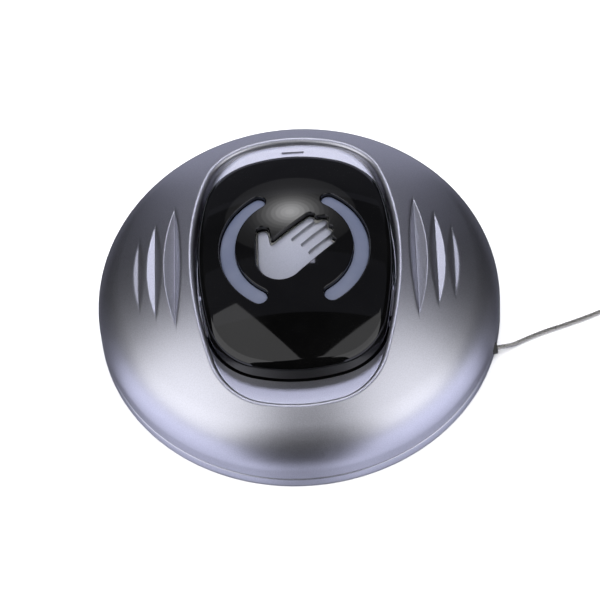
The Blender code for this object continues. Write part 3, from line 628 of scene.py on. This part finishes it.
def cover_rows(edge, side_count, top_count):
    """Flat points from the recess's edge out to the shoulder. Beside the grooves a row runs
    straight across; round the ends they fan out."""
    corner_x, corner_y = edge[side_count - 1]
    reach = math.sqrt(TANGENT_R**2 - corner_y**2)
    last = groove_columns(GROOVE_ZONE_Y, abs(corner_x), reach)
    share = (last - last[0]) / (last[-1] - last[0])
    begin = math.atan2(corner_y, reach)
    rows = []
    for i, (x, y) in enumerate(edge):
        lower, k = divmod(i, side_count + top_count)
        if k < side_count:
            xs = groove_columns(y, abs(x), math.sqrt(TANGENT_R**2 - y * y))
            rows.append(np.stack([math.copysign(1.0, x) * xs, np.full_like(xs, y)], 1))
        else:
            t = (k - side_count + 1) / (top_count + 1)
            turn = begin + (math.pi - 2 * begin) * t + lower * math.pi
            target = TANGENT_R * np.array([math.cos(turn), math.sin(turn)])
            rows.append(edge[i] + share[:, None] * (target - edge[i]))
    return np.stack(rows, 1)


def cover_outside(form, grid, around, foot):
    """The dome with its grooves, the shoulder and the foot at the seam."""
    rings, normals = [], []
    for x, y in zip(grid[:, :, 0], grid[:, :, 1]):
        rings.append(np.stack([x, y, cover_height(x, y)], 1))
        normals.append(height_normal(cover_height, x, y))
    for lift in np.linspace(LEAN, 0.0, 15)[1:]:
        r, z = STRAIGHT + SHOULDER_R * math.cos(lift), SHOULDER_Z + SHOULDER_R * math.sin(lift)
        rings.append(raised(r * around, z))
        normals.append(raised(math.cos(lift) * around, math.sin(lift)))
    for inset, up, lift in SEAM_PROFILE:
        rings.append(raised((HOUSING_R - inset) * around, foot + up))
        normals.append(raised(math.cos(lift) * around, math.sin(lift)))
    return form.loft(rings, normals)


def cover_inside(form, rim, out, around, foot):
    """The plain inside: wall, shoulder, dome and the tub round the recess."""
    rings = [raised((HOUSING_R - WALL) * around, z) for z in (foot, SHOULDER_Z)]
    for lift in np.linspace(0.0, LEAN, 8)[1:]:
        r = STRAIGHT + (SHOULDER_R - WALL) * math.cos(lift)
        rings.append(raised(r * around, SHOULDER_Z + (SHOULDER_R - WALL) * math.sin(lift)))
    start = rings[-1][:, :2]
    for t in np.linspace(0.12, 1.0, 8):
        place = start + t * (rim + out * TUB_WALL - start)
        sink = WALL + (GROOVE_PAD_DEPTH - WALL) * min(1.0, t / PAD_SHARE)
        rings.append(raised(place, dome(*place.T, sink)))
    low = np.minimum(rings[-1][:, 2] - 0.05, SHELF_Z - SHELF_THICK)
    rings.append(raised(rim + out * TUB_FOOT_WALL, low))
    return form.loft(rings)


def recess_wall(form, rim, out, profile):
    """The rim's fillet, the wall and the small fillet at the shelf."""
    rings, normals = [], []
    wall_top = dome(*rim.T)
    for offset, drop, turn in profile[1:]:
        rings.append(raised(rim + out * offset[:, None], wall_top - drop))
        turns = np.broadcast_to(turn, len(rim))
        normals.append(raised(out * np.cos(turns)[:, None], np.sin(turns)))
    for turn in np.linspace(0.0, math.pi / 2, 5):
        offset = -FOOT_FILLET * (1 - math.cos(turn))
        rings.append(raised(rim + out * offset, SHELF_Z + FOOT_FILLET * (1 - math.sin(turn))))
        normals.append(raised(-out * math.cos(turn), math.sin(turn)))
    return form.loft(rings, normals)


def shelf(form, foot_ring, tub_foot):
    """The flat shelf round the plate's opening, with the notch in its rear edge."""
    opening, opening_out = plate_outline(PLATE, (40, 26, 24))
    opening = opening + opening_out * PLATE_CLEARANCE
    order = np.where((np.abs(opening[:, 0]) < NOTCH_HALF_WIDTH) & (opening[:, 1] > 0))[0]
    rear = opening[opening[:, 1] > 30][::-1]
    y_open = np.interp(NOTCH_HALF_WIDTH, rear[:, 0], rear[:, 1])
    right_in, right_out, left_out, left_in = np.array([
        [[NOTCH_HALF_WIDTH, y_open]], [[NOTCH_HALF_WIDTH, NOTCH_END_Y]],
        [[-NOTCH_HALF_WIDTH, NOTCH_END_Y]], [[-NOTCH_HALF_WIDTH, y_open]],
    ])
    before, within, after = opening[:order[0]], opening[order], opening[order[-1] + 1:]
    detour = np.concatenate([before, right_in, right_out, left_out, left_in, after])
    whole = np.concatenate([before, right_in, within, left_in, after])
    under_z, step_z = SHELF_Z - SHELF_THICK, SHELF_Z - NOTCH_DEPTH

    def upward(x, y):
        return np.repeat([[0.0, 0.0, 1.0]], len(x), 0)

    upper = form.add(raised(detour, SHELF_Z), upward(*detour.T))
    mid = form.add(raised(detour, step_z))
    form.bridge(upper, mid)
    count = len(before)
    inside = form.add(raised(within, step_z))
    mid_whole = np.concatenate([mid[:count + 1], inside, mid[count + 3:]])
    form.faces.append([int(k) for k in mid[count:count + 4]] + [int(k) for k in inside[::-1]])
    lower = form.add(raised(whole, under_z))
    form.bridge(mid_whole, lower)
    form.sheet(foot_ring, [upper], 1.6, lambda x, y: np.full_like(x, SHELF_Z), upward)
    form.sheet(tub_foot, [lower], 3.0, lambda x, y: np.full_like(x, under_z))


def dome_cover(material):
    """The silver shell: dome, grooves, recess with its shelf and notch, and a plain inside."""
    form = Form()
    rim, out, side_count, top_count = station_rows()
    slope = -(rim * out).sum(1) / np.sqrt(DOME_R**2 - (rim**2).sum(1))
    profile = list(fillet_profile(slope, RIM_FILLET, 7))
    grid = cover_rows(rim + out * profile[0][0][:, None], side_count, top_count)
    around = units(np.arctan2(grid[-1, :, 1], grid[-1, :, 0]))
    foot = np.maximum(COVER_BOTTOM, lead_arch(*(HOUSING_R * around).T))
    first, seam = cover_outside(form, grid, around, foot)
    inner_seam, tub_foot = cover_inside(form, rim, out, around, foot)
    form.bridge(seam, inner_seam)
    top, foot_ring = recess_wall(form, rim, out, profile)
    form.bridge(first, top)
    shelf(form, foot_ring, tub_foot)
    return form.build("dome_cover_shell", material, 40)


def turned(name, profile, steps, centre, material, sharp=35.0):
    """A turned solid from (radius, z) points, closed at both ends."""
    form = Form()
    form.solid([raised(np.array(centre) + r * circle(steps), z) for r, z in profile])
    return form.build(name, material, sharp)


def rounded(profile, radius, steps=4):
    """The (radius, z) profile with its inner corners rounded."""
    points = [np.array(p, float) for p in profile]
    made = [tuple(points[0])]
    for a, b, c in zip(points, points[1:], points[2:]):
        one, two = (a - b) / np.linalg.norm(a - b), (c - b) / np.linalg.norm(c - b)
        reach = min(radius, 0.45 * np.linalg.norm(a - b), 0.45 * np.linalg.norm(c - b))
        start, end = b + one * reach, b + two * reach
        for t in np.linspace(0, 1, steps + 1):
            made.append(tuple((1 - t) ** 2 * start + 2 * t * (1 - t) * b + t * t * end))
    return made + [tuple(points[-1])]


def subtract(obj, tools):
    """Cut the tools out of obj for good, and drop them."""
    for tool in tools:
        modifier = obj.modifiers.new("cut", "BOOLEAN")
        modifier.operation, modifier.solver, modifier.object = "DIFFERENCE", "EXACT", tool
        graph = bpy.context.evaluated_depsgraph_get()
        mesh = bpy.data.meshes.new_from_object(obj.evaluated_get(graph))
        obj.modifiers.clear()
        obj.data = mesh
        bpy.data.objects.remove(tool)
    obj.data.shade_smooth()
    obj.data.set_sharp_from_angle(angle=math.radians(32))


def keyhole(side, material):
    """A cutter for one hanging slot: round entry below, narrow slot above."""
    head = arc((side * KEYHOLE_X, KEYHOLE_HEAD_Y), KEYHOLE_HEAD_R, math.radians(123), math.radians(417), 40)
    slot = arc((side * KEYHOLE_X, KEYHOLE_SLOT_Y), KEYHOLE_SLOT_R, 0.0, math.pi, 20)
    form = Form()
    form.solid([raised(np.concatenate([head, slot]), z) for z in (-1.0, BASE_FLOOR + 1.0)])
    return form.build("tool", material)


def base_plate(material):
    """The round back: rim below the seam, floor, lip, screw wells and two hanging slots."""
    profile = rounded([
        (1.0, 0.0), (HOUSING_R - 0.25, 0.0), (HOUSING_R, BASE_CHAMFER), (HOUSING_R, RIM_TOP),
        (HOUSING_R - BASE_RIM, RIM_TOP), (HOUSING_R - BASE_RIM, BASE_FLOOR), (LIP_OUT_R, BASE_FLOOR),
        (LIP_OUT_R, LIP_TOP), (LIP_IN_R, LIP_TOP), (LIP_IN_R, BASE_FLOOR), (1.0, BASE_FLOOR),
    ], 0.3)
    base = turned("base_plate_shell", profile, 256, (0, 0), material, 30)
    well = [(SCREW_WELL_R, -1.0), (SCREW_WELL_R, SCREW_WELL_DEPTH)]
    corners = [math.radians(a) for a in (45, 135, 225, 315)]
    tools = [turned("tool", well, 40, (BOSS_CIRCLE * math.cos(a), BOSS_CIRCLE * math.sin(a)), material)
             for a in corners]
    subtract(base, tools + [keyhole(side, material) for side in (-1, 1)])
    return base


# ---------------------------------------------------------------- push plate


def edge_drop(inset):
    """How far the plate's rolled edge lies below the dome at a distance in from its wall."""
    share = np.clip((EDGE_INSET - inset) / EDGE_INSET, 0, 1) ** 2.5
    return EDGE_DROP * (1 - np.sqrt(1 - share))


def round_edge(loop, facing, sink, fillet, turns):
    """Rings and normals of a round upper edge, on the dome sunk by sink. facing is the level
    direction in which the wall below it looks."""
    rings, normals = [], []
    for turn in turns:
        place = loop - facing * fillet * (1 - math.sin(turn))
        rings.append(raised(place, dome(*place.T, sink) - fillet * (1 - math.cos(turn))))
        normal = math.cos(turn) * dome_normal(*place.T) + math.sin(turn) * raised(facing, 0.0)
        normals.append(normal / np.linalg.norm(normal, axis=1, keepdims=True))
    return rings, normals


def pocket_edge(form, loop, out):
    """Round upper edge and wall of an opening in the plate; gives its upper and lower rings."""
    rings, normals = round_edge(loop, -out, 0.0, POCKET_FILLET, np.linspace(0.0, math.pi / 2, 5))
    rings.append(raised(loop, dome(*loop.T, PLATE_SKIN)))
    normals.append(np.zeros_like(rings[-1]))
    return form.loft(rings, normals)


def plate_edge(line, out):
    """Rings and normals of the plate's outer wall and rolled edge, from its foot up and in."""
    side = raised(out, 0.0)
    rings, normals = [raised(line, PLATE_FOOT_Z)], [np.zeros_like(side)]
    surface = lambda inset: dome(*(line - out * inset).T) - edge_drop(inset)
    step = 0.002
    for inset in EDGE_INSET * (1 - np.cos(np.linspace(0, math.pi / 2, 22))):
        place, z = line - out * inset, surface(inset)
        rings.append(raised(place, z))
        if inset == 0:
            normals.append(side)
            continue
        fall = (surface(inset + step) - surface(inset - step)) / (2 * step)
        turn = np.roll(place, -1, 0) - np.roll(place, 1, 0)
        length = np.linalg.norm(turn, axis=1)
        rise = (np.roll(z, -1) - np.roll(z, 1)) / length
        normal = np.cross(raised(turn / length[:, None], rise), raised(-out, fall))
        normals.append(normal / np.linalg.norm(normal, axis=1, keepdims=True))
    return rings, normals


def push_plate(material):
    """The gloss black press plate with its rolled edge, two guide slots and the hand's pocket."""
    form = Form()
    line, out = plate_outline(PLATE, (48, 34, 26))
    foot, top = form.loft(*plate_edge(line, out))
    loops = []
    for guide, guide_out in (guide_outline(-1), guide_outline(1)):
        loops.append((guide + guide_out * GUIDE_CLEARANCE, guide_out))
    wide = contour(resampled(hand_outline(), 0.25), POCKET_CLEARANCE + POCKET_SOFTENING)
    pocket = resampled(contour(resampled(wide, 0.25), -POCKET_SOFTENING), 0.22)
    loops.append((pocket, loop_normals(pocket)))
    holes, lows = zip(*[pocket_edge(form, loop, loop_out) for loop, loop_out in loops])
    form.sheet(top, holes, 1.1, dome, dome_normal)
    under = lambda x, y: dome(x, y, PLATE_SKIN)
    inner, further = line - out * PLATE_WALL, line - out * (EDGE_INSET + 0.8)
    start, end = form.loft([
        raised(inner, PLATE_FOOT_Z),
        raised(inner, np.minimum(dome(*inner.T) - 2.9, under(*inner.T))),
        raised(further, under(*further.T)),
    ])
    form.bridge(foot, start)
    form.sheet(end, lows, 2.4, under)
    return form.build("push_plate_shell", material, 40)


def light_guide(name, side, material):
    """A bar that follows the dome at a depth, with a round upper edge."""
    form = Form()
    loop, out = guide_outline(side)
    rings, normals = round_edge(loop, out, GUIDE_SINK, GUIDE_FILLET, np.linspace(math.pi / 2, 0.0, 5))
    low = raised(loop, dome(*loop.T, INLAY_FOOT_SINK))
    first, last = form.loft([low, *rings], [np.zeros_like(low), *normals])
    form.sheet(last, [], 0.9, lambda x, y: dome(x, y, GUIDE_SINK), dome_normal)
    form.sheet(first, [], 2.0, lambda x, y: dome(x, y, INLAY_FOOT_SINK))
    return form.build(name, material, 40)


def hand_height(x, y):
    """Top of the hand: level palm and fingers, with a groove between the fingers."""
    c, s = math.cos(HAND_ANGLE), math.sin(HAND_ANGLE)
    along, sideways = x * c + y * s, y * c - x * s
    depth = np.zeros_like(along)
    for u, v in FINGER_GAPS:
        across = np.abs(sideways - v)
        from_axis = np.where(along < u, np.hypot(along - u, across), across)
        share = np.clip((FINGER_GAP_WIDTH / 2 - from_axis) / FINGER_GAP_SLOPE, 0.0, 1.0)
        depth = np.maximum(depth, FINGER_GAP_DEPTH * np.sin(share * math.pi / 2) ** 1.3)
    return dome(x, y, HAND_SINK) - depth


def hand_inlay(material):
    """The silver hand: round palm, thumb and four fingers with grooves between them. Lines of
    points follow each groove's walls, so that its edges stay crisp."""
    form = Form()
    loop = resampled(hand_outline(), 0.22)
    out = loop_normals(loop)
    rings = [raised(loop, dome(*loop.T, INLAY_FOOT_SINK))]
    for turn in np.linspace(math.pi / 2, 0.0, 4):
        place = loop - out * HAND_FILLET * (1 - math.sin(turn))
        rings.append(raised(place, hand_height(*place.T) - HAND_FILLET * (1 - math.cos(turn))))
    first, last = form.loft(rings)
    lines = []
    half = FINGER_GAP_WIDTH / 2
    for u, v in FINGER_GAPS:
        for inset in (-0.06, 0.0, 0.08, 0.18, 0.32, 0.5, half):
            reach = max(half - inset, 0.0)
            walls = [hand_frame(a, v + w) for a in np.arange(u, u + 11.0, 0.35) for w in (-reach, reach)]
            turn = HAND_ANGLE + math.pi / 2
            cap = arc(hand_frame(u, v), max(reach, 0.01), turn, turn + math.pi, 10)
            lines += [np.array(walls), cap]
    form.sheet(last, [], 0.5, hand_height, None, lines)
    form.sheet(first, [], 1.5, lambda x, y: dome(x, y, INLAY_FOOT_SINK))
    return form.build("hand_inlay_relief", material, 50)


# ---------------------------------------------------------------- wires


def smooth_line(points, spacing):
    """Points about one spacing apart along a Catmull-Rom curve through the given ones."""
    route = [np.array(p, float) for p in points]
    route = [2 * route[0] - route[1]] + route + [2 * route[-1] - route[-2]]
    line = []
    for a, b, c, d in zip(route, route[1:], route[2:], route[3:]):
        steps = max(1, round(float(np.linalg.norm(c - b)) / spacing))
        for t in np.arange(steps) / steps:
            line.append(0.5 * (2 * b + (c - a) * t + (2 * a - 5 * b + 4 * c - d) * t**2
                               + (3 * b - a - 3 * c + d) * t**3))
    return np.array(line + [route[-2]])


def ease(share):
    share = np.clip(share, 0, 1)
    return share * share * (3 - 2 * share)


def lead_path():
    """The lead from the housing's wall, along the floor, round its coil and to its free end."""
    start = smooth_line(LEAD_ROUTE, 0.6)
    sweeps = np.linspace(0, COIL_SWEEP, 140)
    rise = ease((sweeps - COIL_RISE[0]) / (COIL_RISE[1] - COIL_RISE[0]))
    flat = np.array(COIL_CENTRE) + COIL_R * units(COIL_START + sweeps)
    coil = raised(flat, COIL_LOW_Z + (COIL_HIGH_Z - COIL_LOW_Z) * rise)
    away = np.arange(0.6, END_REACH, 0.6)
    fall = ease((away - END_FALL[0]) / (END_FALL[1] - END_FALL[0]))
    heading = np.array([math.cos(END_HEADING), math.sin(END_HEADING)])
    end = raised(flat[-1] + away[:, None] * heading, COIL_HIGH_Z + (COIL_LOW_Z - COIL_HIGH_Z) * fall)
    return resampled(np.concatenate([start, coil, end]), 0.4, closed=False)


def swept(name, line, sections, material, sharp):
    """A closed solid along a line. Each point's section holds its offsets to the side and up,
    in directions that turn as little as possible."""
    tangent = np.gradient(line, axis=0)
    tangent /= np.linalg.norm(tangent, axis=1, keepdims=True)
    side = np.cross([0.0, 0.0, 1.0], tangent[0])
    rings = []
    for place, ahead, section in zip(line, tangent, sections):
        side = side - ahead * side.dot(ahead)
        side /= np.linalg.norm(side)
        rings.append(place + section[:, :1] * side + section[:, 1:] * np.cross(ahead, side))
    form = Form()
    form.solid(rings)
    return form.build(name, material, sharp)


def stranded_wire(name, line, radius, material, pitch=8.0, strands=6, per_strand=7):
    """Strands twisted round a core, as one lobed form: each lobe is one outer strand."""
    strand = radius / 3
    count = strands * per_strand
    angle = np.arange(count) * 2 * math.pi / count
    within = (angle % (2 * math.pi / strands)) - math.pi / strands
    aside = 2 * strand * np.sin(within)
    reach = 2 * strand * np.cos(within) + np.sqrt(np.clip(strand**2 - aside**2, 0, None))
    twists = 2 * math.pi * distances(line) / pitch
    sections = [reach[:, None] * units(angle + twist) for twist in twists]
    return swept(name, line, sections, material, 60)


def sleeve(name, start, heading, length, radius, bore, material):
    """A round sleeve with rounded ends, along a level direction."""
    side = np.array([-heading[1], heading[0], 0.0])
    around = circle(28)
    around = around[:, :1] * side + around[:, 1:] * (0.0, 0.0, 1.0)
    edge = 0.3 * (radius - bore)
    half = [(bore, 0.0), (radius - edge, 0.0), (radius - 0.3 * edge, 0.3 * edge), (radius, edge)]
    profile = half + [(r, length - t) for r, t in half[::-1]]
    form = Form()
    first, last = form.loft([start + np.array(heading) * t + r * around for r, t in profile])
    form.bridge(last, first)
    return form.build(name, material, 50)


def plate_spring(name, side, material):
    """A compression spring with a nearly flat turn at each end."""
    turns = np.linspace(0, SPRING_TURNS, SPRING_TURNS * 20 + 1)
    rise = SPRING_HIGH - SPRING_LOW - 2 * SPRING_WIRE_R
    share = np.clip((turns - DEAD_TURNS) / (SPRING_TURNS - 2 * DEAD_TURNS), 0, 1)
    pitch = 2.2 * SPRING_WIRE_R
    dead = pitch * np.clip(turns, 0, DEAD_TURNS) / DEAD_TURNS
    top = pitch * np.clip(turns - SPRING_TURNS + DEAD_TURNS, 0, None) / DEAD_TURNS
    z = SPRING_LOW + SPRING_WIRE_R + dead + top + share * (rise - 2 * pitch)
    line = raised(np.array([side * SPRING_X, SPRING_Y]) + SPRING_R * units(2 * math.pi * turns), z)
    return swept(name, line, [SPRING_WIRE_R * circle(12)] * len(line), material, 50)


# ---------------------------------------------------------------- studio


def aimed(azimuth, elevation):
    """A direction: azimuth 0 towards the viewer, positive to the right; elevation upwards."""
    a, e = math.radians(azimuth), math.radians(elevation)
    return np.array([math.sin(a) * math.cos(e), -math.cos(a) * math.cos(e), math.sin(e)])


# Panels: name, azimuth, elevation, edges across and upward as tangents, radiance
PANELS = (
    ("left_top", -48.0, 32.0, (-0.68, 0.27), (0.45, 1.15), 1.00),
    ("left_middle", -48.0, 32.0, (-0.82, 0.30), (-0.10, 0.45), 1.65),
    ("left_low", -48.0, 32.0, (-0.82, 0.30), (-0.57, -0.10), 1.65),
    ("right_top", 41.0, 32.0, (-0.12, 0.74), (0.45, 0.97), 1.00),
    ("right_middle", 41.0, 32.0, (-0.17, 0.76), (-0.10, 0.45), 1.55),
    ("right_low", 41.0, 32.0, (-0.17, 0.76), (-0.57, -0.10), 1.75),
)
# The same, for light that came back bluish from the room
COOL_PANELS = (
    ("rear_high", 180.0, 59.5, (-0.09, 0.09), (-0.09, 0.09), 5.20),
    ("rear_middle", 180.0, 20.0, (-0.80, 0.80), (-0.30, 0.20), 0.10),
    ("rear_low", 180.0, 0.0, (-0.45, 0.45), (-0.60, 0.14), 0.40),
    ("ceiling", 180.0, 90.0, (-1.20, 1.20), (-0.60, -0.09), 0.11),
    ("ceiling_far", 180.0, 90.0, (-1.20, 1.20), (-1.90, -0.60), 0.05),
    ("bounce_left", -62.0, -14.0, (-0.60, 0.60), (-0.22, 0.22), 1.20),
    ("bounce_left_low", -62.0, -42.0, (-0.60, 0.60), (-0.30, 0.30), 0.95),
    ("bounce_right", 58.0, -14.0, (-0.60, 0.60), (-0.22, 0.22), 1.20),
    ("bounce_right_low", 58.0, -42.0, (-0.60, 0.60), (-0.30, 0.30), 0.85),
    ("bounce_front", 0.0, -48.0, (-0.40, 0.40), (-0.35, 0.30), 0.45),
    ("bounce_rear", 180.0, -42.0, (-0.90, 0.90), (-0.35, 0.35), 0.10),
)
LAMP_AZIMUTH, LAMP_ELEVATION = 183.0, 40.6
LAMP_REACH, LAMP_RINGS = 0.34, 14
LAMP_CORE, LAMP_CORE_REACH = 5.1, 0.11
LAMP_HAZE, LAMP_HAZE_REACH = 0.6, 0.22
FILL_RADIANCE = 3.0
WORLD_STRENGTH = 0.006


def softbox(name, azimuth, elevation, across, upward, radiance, distance=1.5, colour=WARM_TINT):
    """A rectangular light square to one direction from the object. across and upward are its
    edges, as tangents of the angles away from that direction."""
    a = math.radians(azimuth)
    way = aimed(azimuth, elevation)
    right = np.array([math.cos(a), math.sin(a), 0.0])
    up = np.cross(way, right)
    centre = distance * (way + sum(across) / 2 * right + sum(upward) / 2 * up)
    width, height = distance * (across[1] - across[0]), distance * (upward[1] - upward[0])
    data = bpy.data.lights.new(name, "AREA")
    data.shape, data.size, data.size_y = "RECTANGLE", width, height
    data.energy = radiance * math.pi * width * height
    data.color = colour
    obj = bpy.data.objects.new(name, data)
    bpy.context.scene.collection.objects.link(obj)
    stand(obj, right, up, way, centre)
    obj.visible_camera = False
    return obj


def stand(obj, right, up, back, place):
    """Put a light or camera at a place, with its own axes along the three directions."""
    turn = Matrix((Vector(right), Vector(up), Vector(back))).transposed()
    obj.matrix_world = Matrix.Translation(Vector(place)) @ turn.to_4x4()


def make_camera():
    data = bpy.data.cameras.new("camera")
    data.lens, data.sensor_width = CAMERA_LENS, CAMERA_SENSOR
    data.clip_start, data.clip_end = 0.05, 20.0
    obj = bpy.data.objects.new("camera", data)
    bpy.context.scene.collection.objects.link(obj)
    right, up = Vector(CAMERA_RIGHT), Vector(CAMERA_UP)
    stand(obj, right, up, right.cross(up), Vector(CAMERA_PLACE) * MM)
    bpy.context.scene.camera = obj


def make_floor(material):
    floor = turned("floor", [(FLOOR_R, -FLOOR_THICK), (FLOOR_R, 0.0)], 96, (0, 0), material)
    floor.visible_glossy = False


def rear_lamp():
    """A lamp with a soft edge: discs on one line of sight, a little apart so that a ray meets
    each of them, whose radiances add up to a smooth fall."""
    def brightness(reach):
        core = LAMP_CORE * math.exp(-((reach / LAMP_CORE_REACH) ** 2))
        return core + LAMP_HAZE * math.exp(-reach / LAMP_HAZE_REACH)

    reaches = [LAMP_REACH * (i + 1) / LAMP_RINGS for i in range(LAMP_RINGS)]
    for i, reach in enumerate(reaches):
        beyond = brightness(reaches[i + 1]) if i + 1 < LAMP_RINGS else 0.0
        radiance = brightness(reach) - beyond
        disc = softbox(f"rear_disc_{i + 1}", LAMP_AZIMUTH, LAMP_ELEVATION, (-reach, reach), (-reach, reach),
                       radiance, distance=1.5 + 0.01 * i)
        disc.data.shape = "DISK"


def make_lights():
    """Two tall panels in front, left and right, a lamp and a weak ceiling behind, bounce from
    below, and a fill that whitens the floor without showing in the gloss."""
    for panels, colour in ((PANELS, WARM_TINT), (COOL_PANELS, COOL_TINT)):
        for panel in panels:
            softbox(*panel, colour=colour)
    rear_lamp()
    fill = softbox("fill", 0.0, 88.0, (-0.8, 0.8), (-0.8, 0.8), FILL_RADIANCE, distance=1.8)
    fill.visible_glossy = False
    world = bpy.data.worlds.new("studio")
    bpy.context.scene.world = world
    world.use_nodes = True
    backdrop = world.node_tree.nodes["Background"]
    backdrop.inputs["Color"].default_value = (*COOL_TINT, 1.0)
    backdrop.inputs["Strength"].default_value = WORLD_STRENGTH
    bpy.context.scene.view_settings.view_transform = "Standard"


# ---------------------------------------------------------------- the model

# The finish of each piece that keeps its CAD shape; its name or its start
CAD_FINISHES = {
    "seal_ring": "rubber", "hinge_pin": "steel", "circuit_board": "board_green",
    "switch_body": "black_plastic", "switch_plunger": "white_plastic", "encoder_chip": "black_plastic",
    "radio_shield_can": "steel", "crystal": "steel", "battery_holder": "black_plastic",
    "battery_contact": "steel", "inlay_retainer": "white_plastic", "antenna_tail": "tinned_wire",
    "coil_tie": "black_plastic", "cover_screw": "steel", "board_screw": "steel",
    "retainer_screw": "steel", "led_": "led_clear",
}


def main():
    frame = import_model()
    nodes = frame["nodes"]
    make_camera()
    finish = {name: finish_material(name, *values) for name, values in FINISHES.items()}

    def place(obj, body, slot, *replaced):
        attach(obj, body)
        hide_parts(*replaced)
        return obj

    line = lead_path()
    lead = place(stranded_wire("antenna_wire", line, LEAD_R, finish["tinned_wire"]), "housing",
                 "tinned_wire", "antenna_lead", "antenna_coil", "antenna_end")
    heading = np.array([math.cos(END_HEADING), math.sin(END_HEADING), 0.0])
    end = place(sleeve("antenna_sleeve", line[-1] - SLEEVE_OVERLAP * heading, heading, SLEEVE_LENGTH,
                       SLEEVE_R, SLEEVE_BORE, finish["rubber"]), "housing", "rubber", "antenna_end_sleeve")

    place(dome_cover(finish["silver_paint"]), "housing", "silver_paint", "dome_cover")
    place(base_plate(finish["silver_paint"]), "housing", "silver_paint", "base_plate")
    place(push_plate(finish["gloss_black"]), "press_plate", "gloss_black", "push_plate")
    for name, side in (("left", -1), ("right", 1)):
        place(light_guide(f"guide_arc_{name}", side, finish["guide_grey"]),
              "press_plate", "guide_grey", f"light_guide_{name}")
    place(hand_inlay(finish["inlay_silver"]), "press_plate", "inlay_silver", "hand_inlay")
    heading = np.array([math.cos(LEAD_HEADING), math.sin(LEAD_HEADING), 0.0])
    place(sleeve("lead_bush", np.array(LEAD_EXIT) - BUSH_DEPTH * heading, heading, BUSH_LENGTH, BUSH_R,
                 BUSH_BORE, finish["rubber"]), "housing", "rubber", "lead_grommet")
    for name, side in (("left", -1), ("right", 1)):
        spring = place(plate_spring(f"plate_spring_{name}", side, finish["steel"]),
                       "housing", "steel", f"return_spring_{name}")
        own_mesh(spring)

    coat(nodes["battery"], finish["battery_wrap"])
    for start, kind in CAD_FINISHES.items():
        for name, obj in nodes.items():
            if name.startswith(start):
                coat(obj, finish[kind])

    make_floor(finish["floor_white"])
    make_lights()


main()
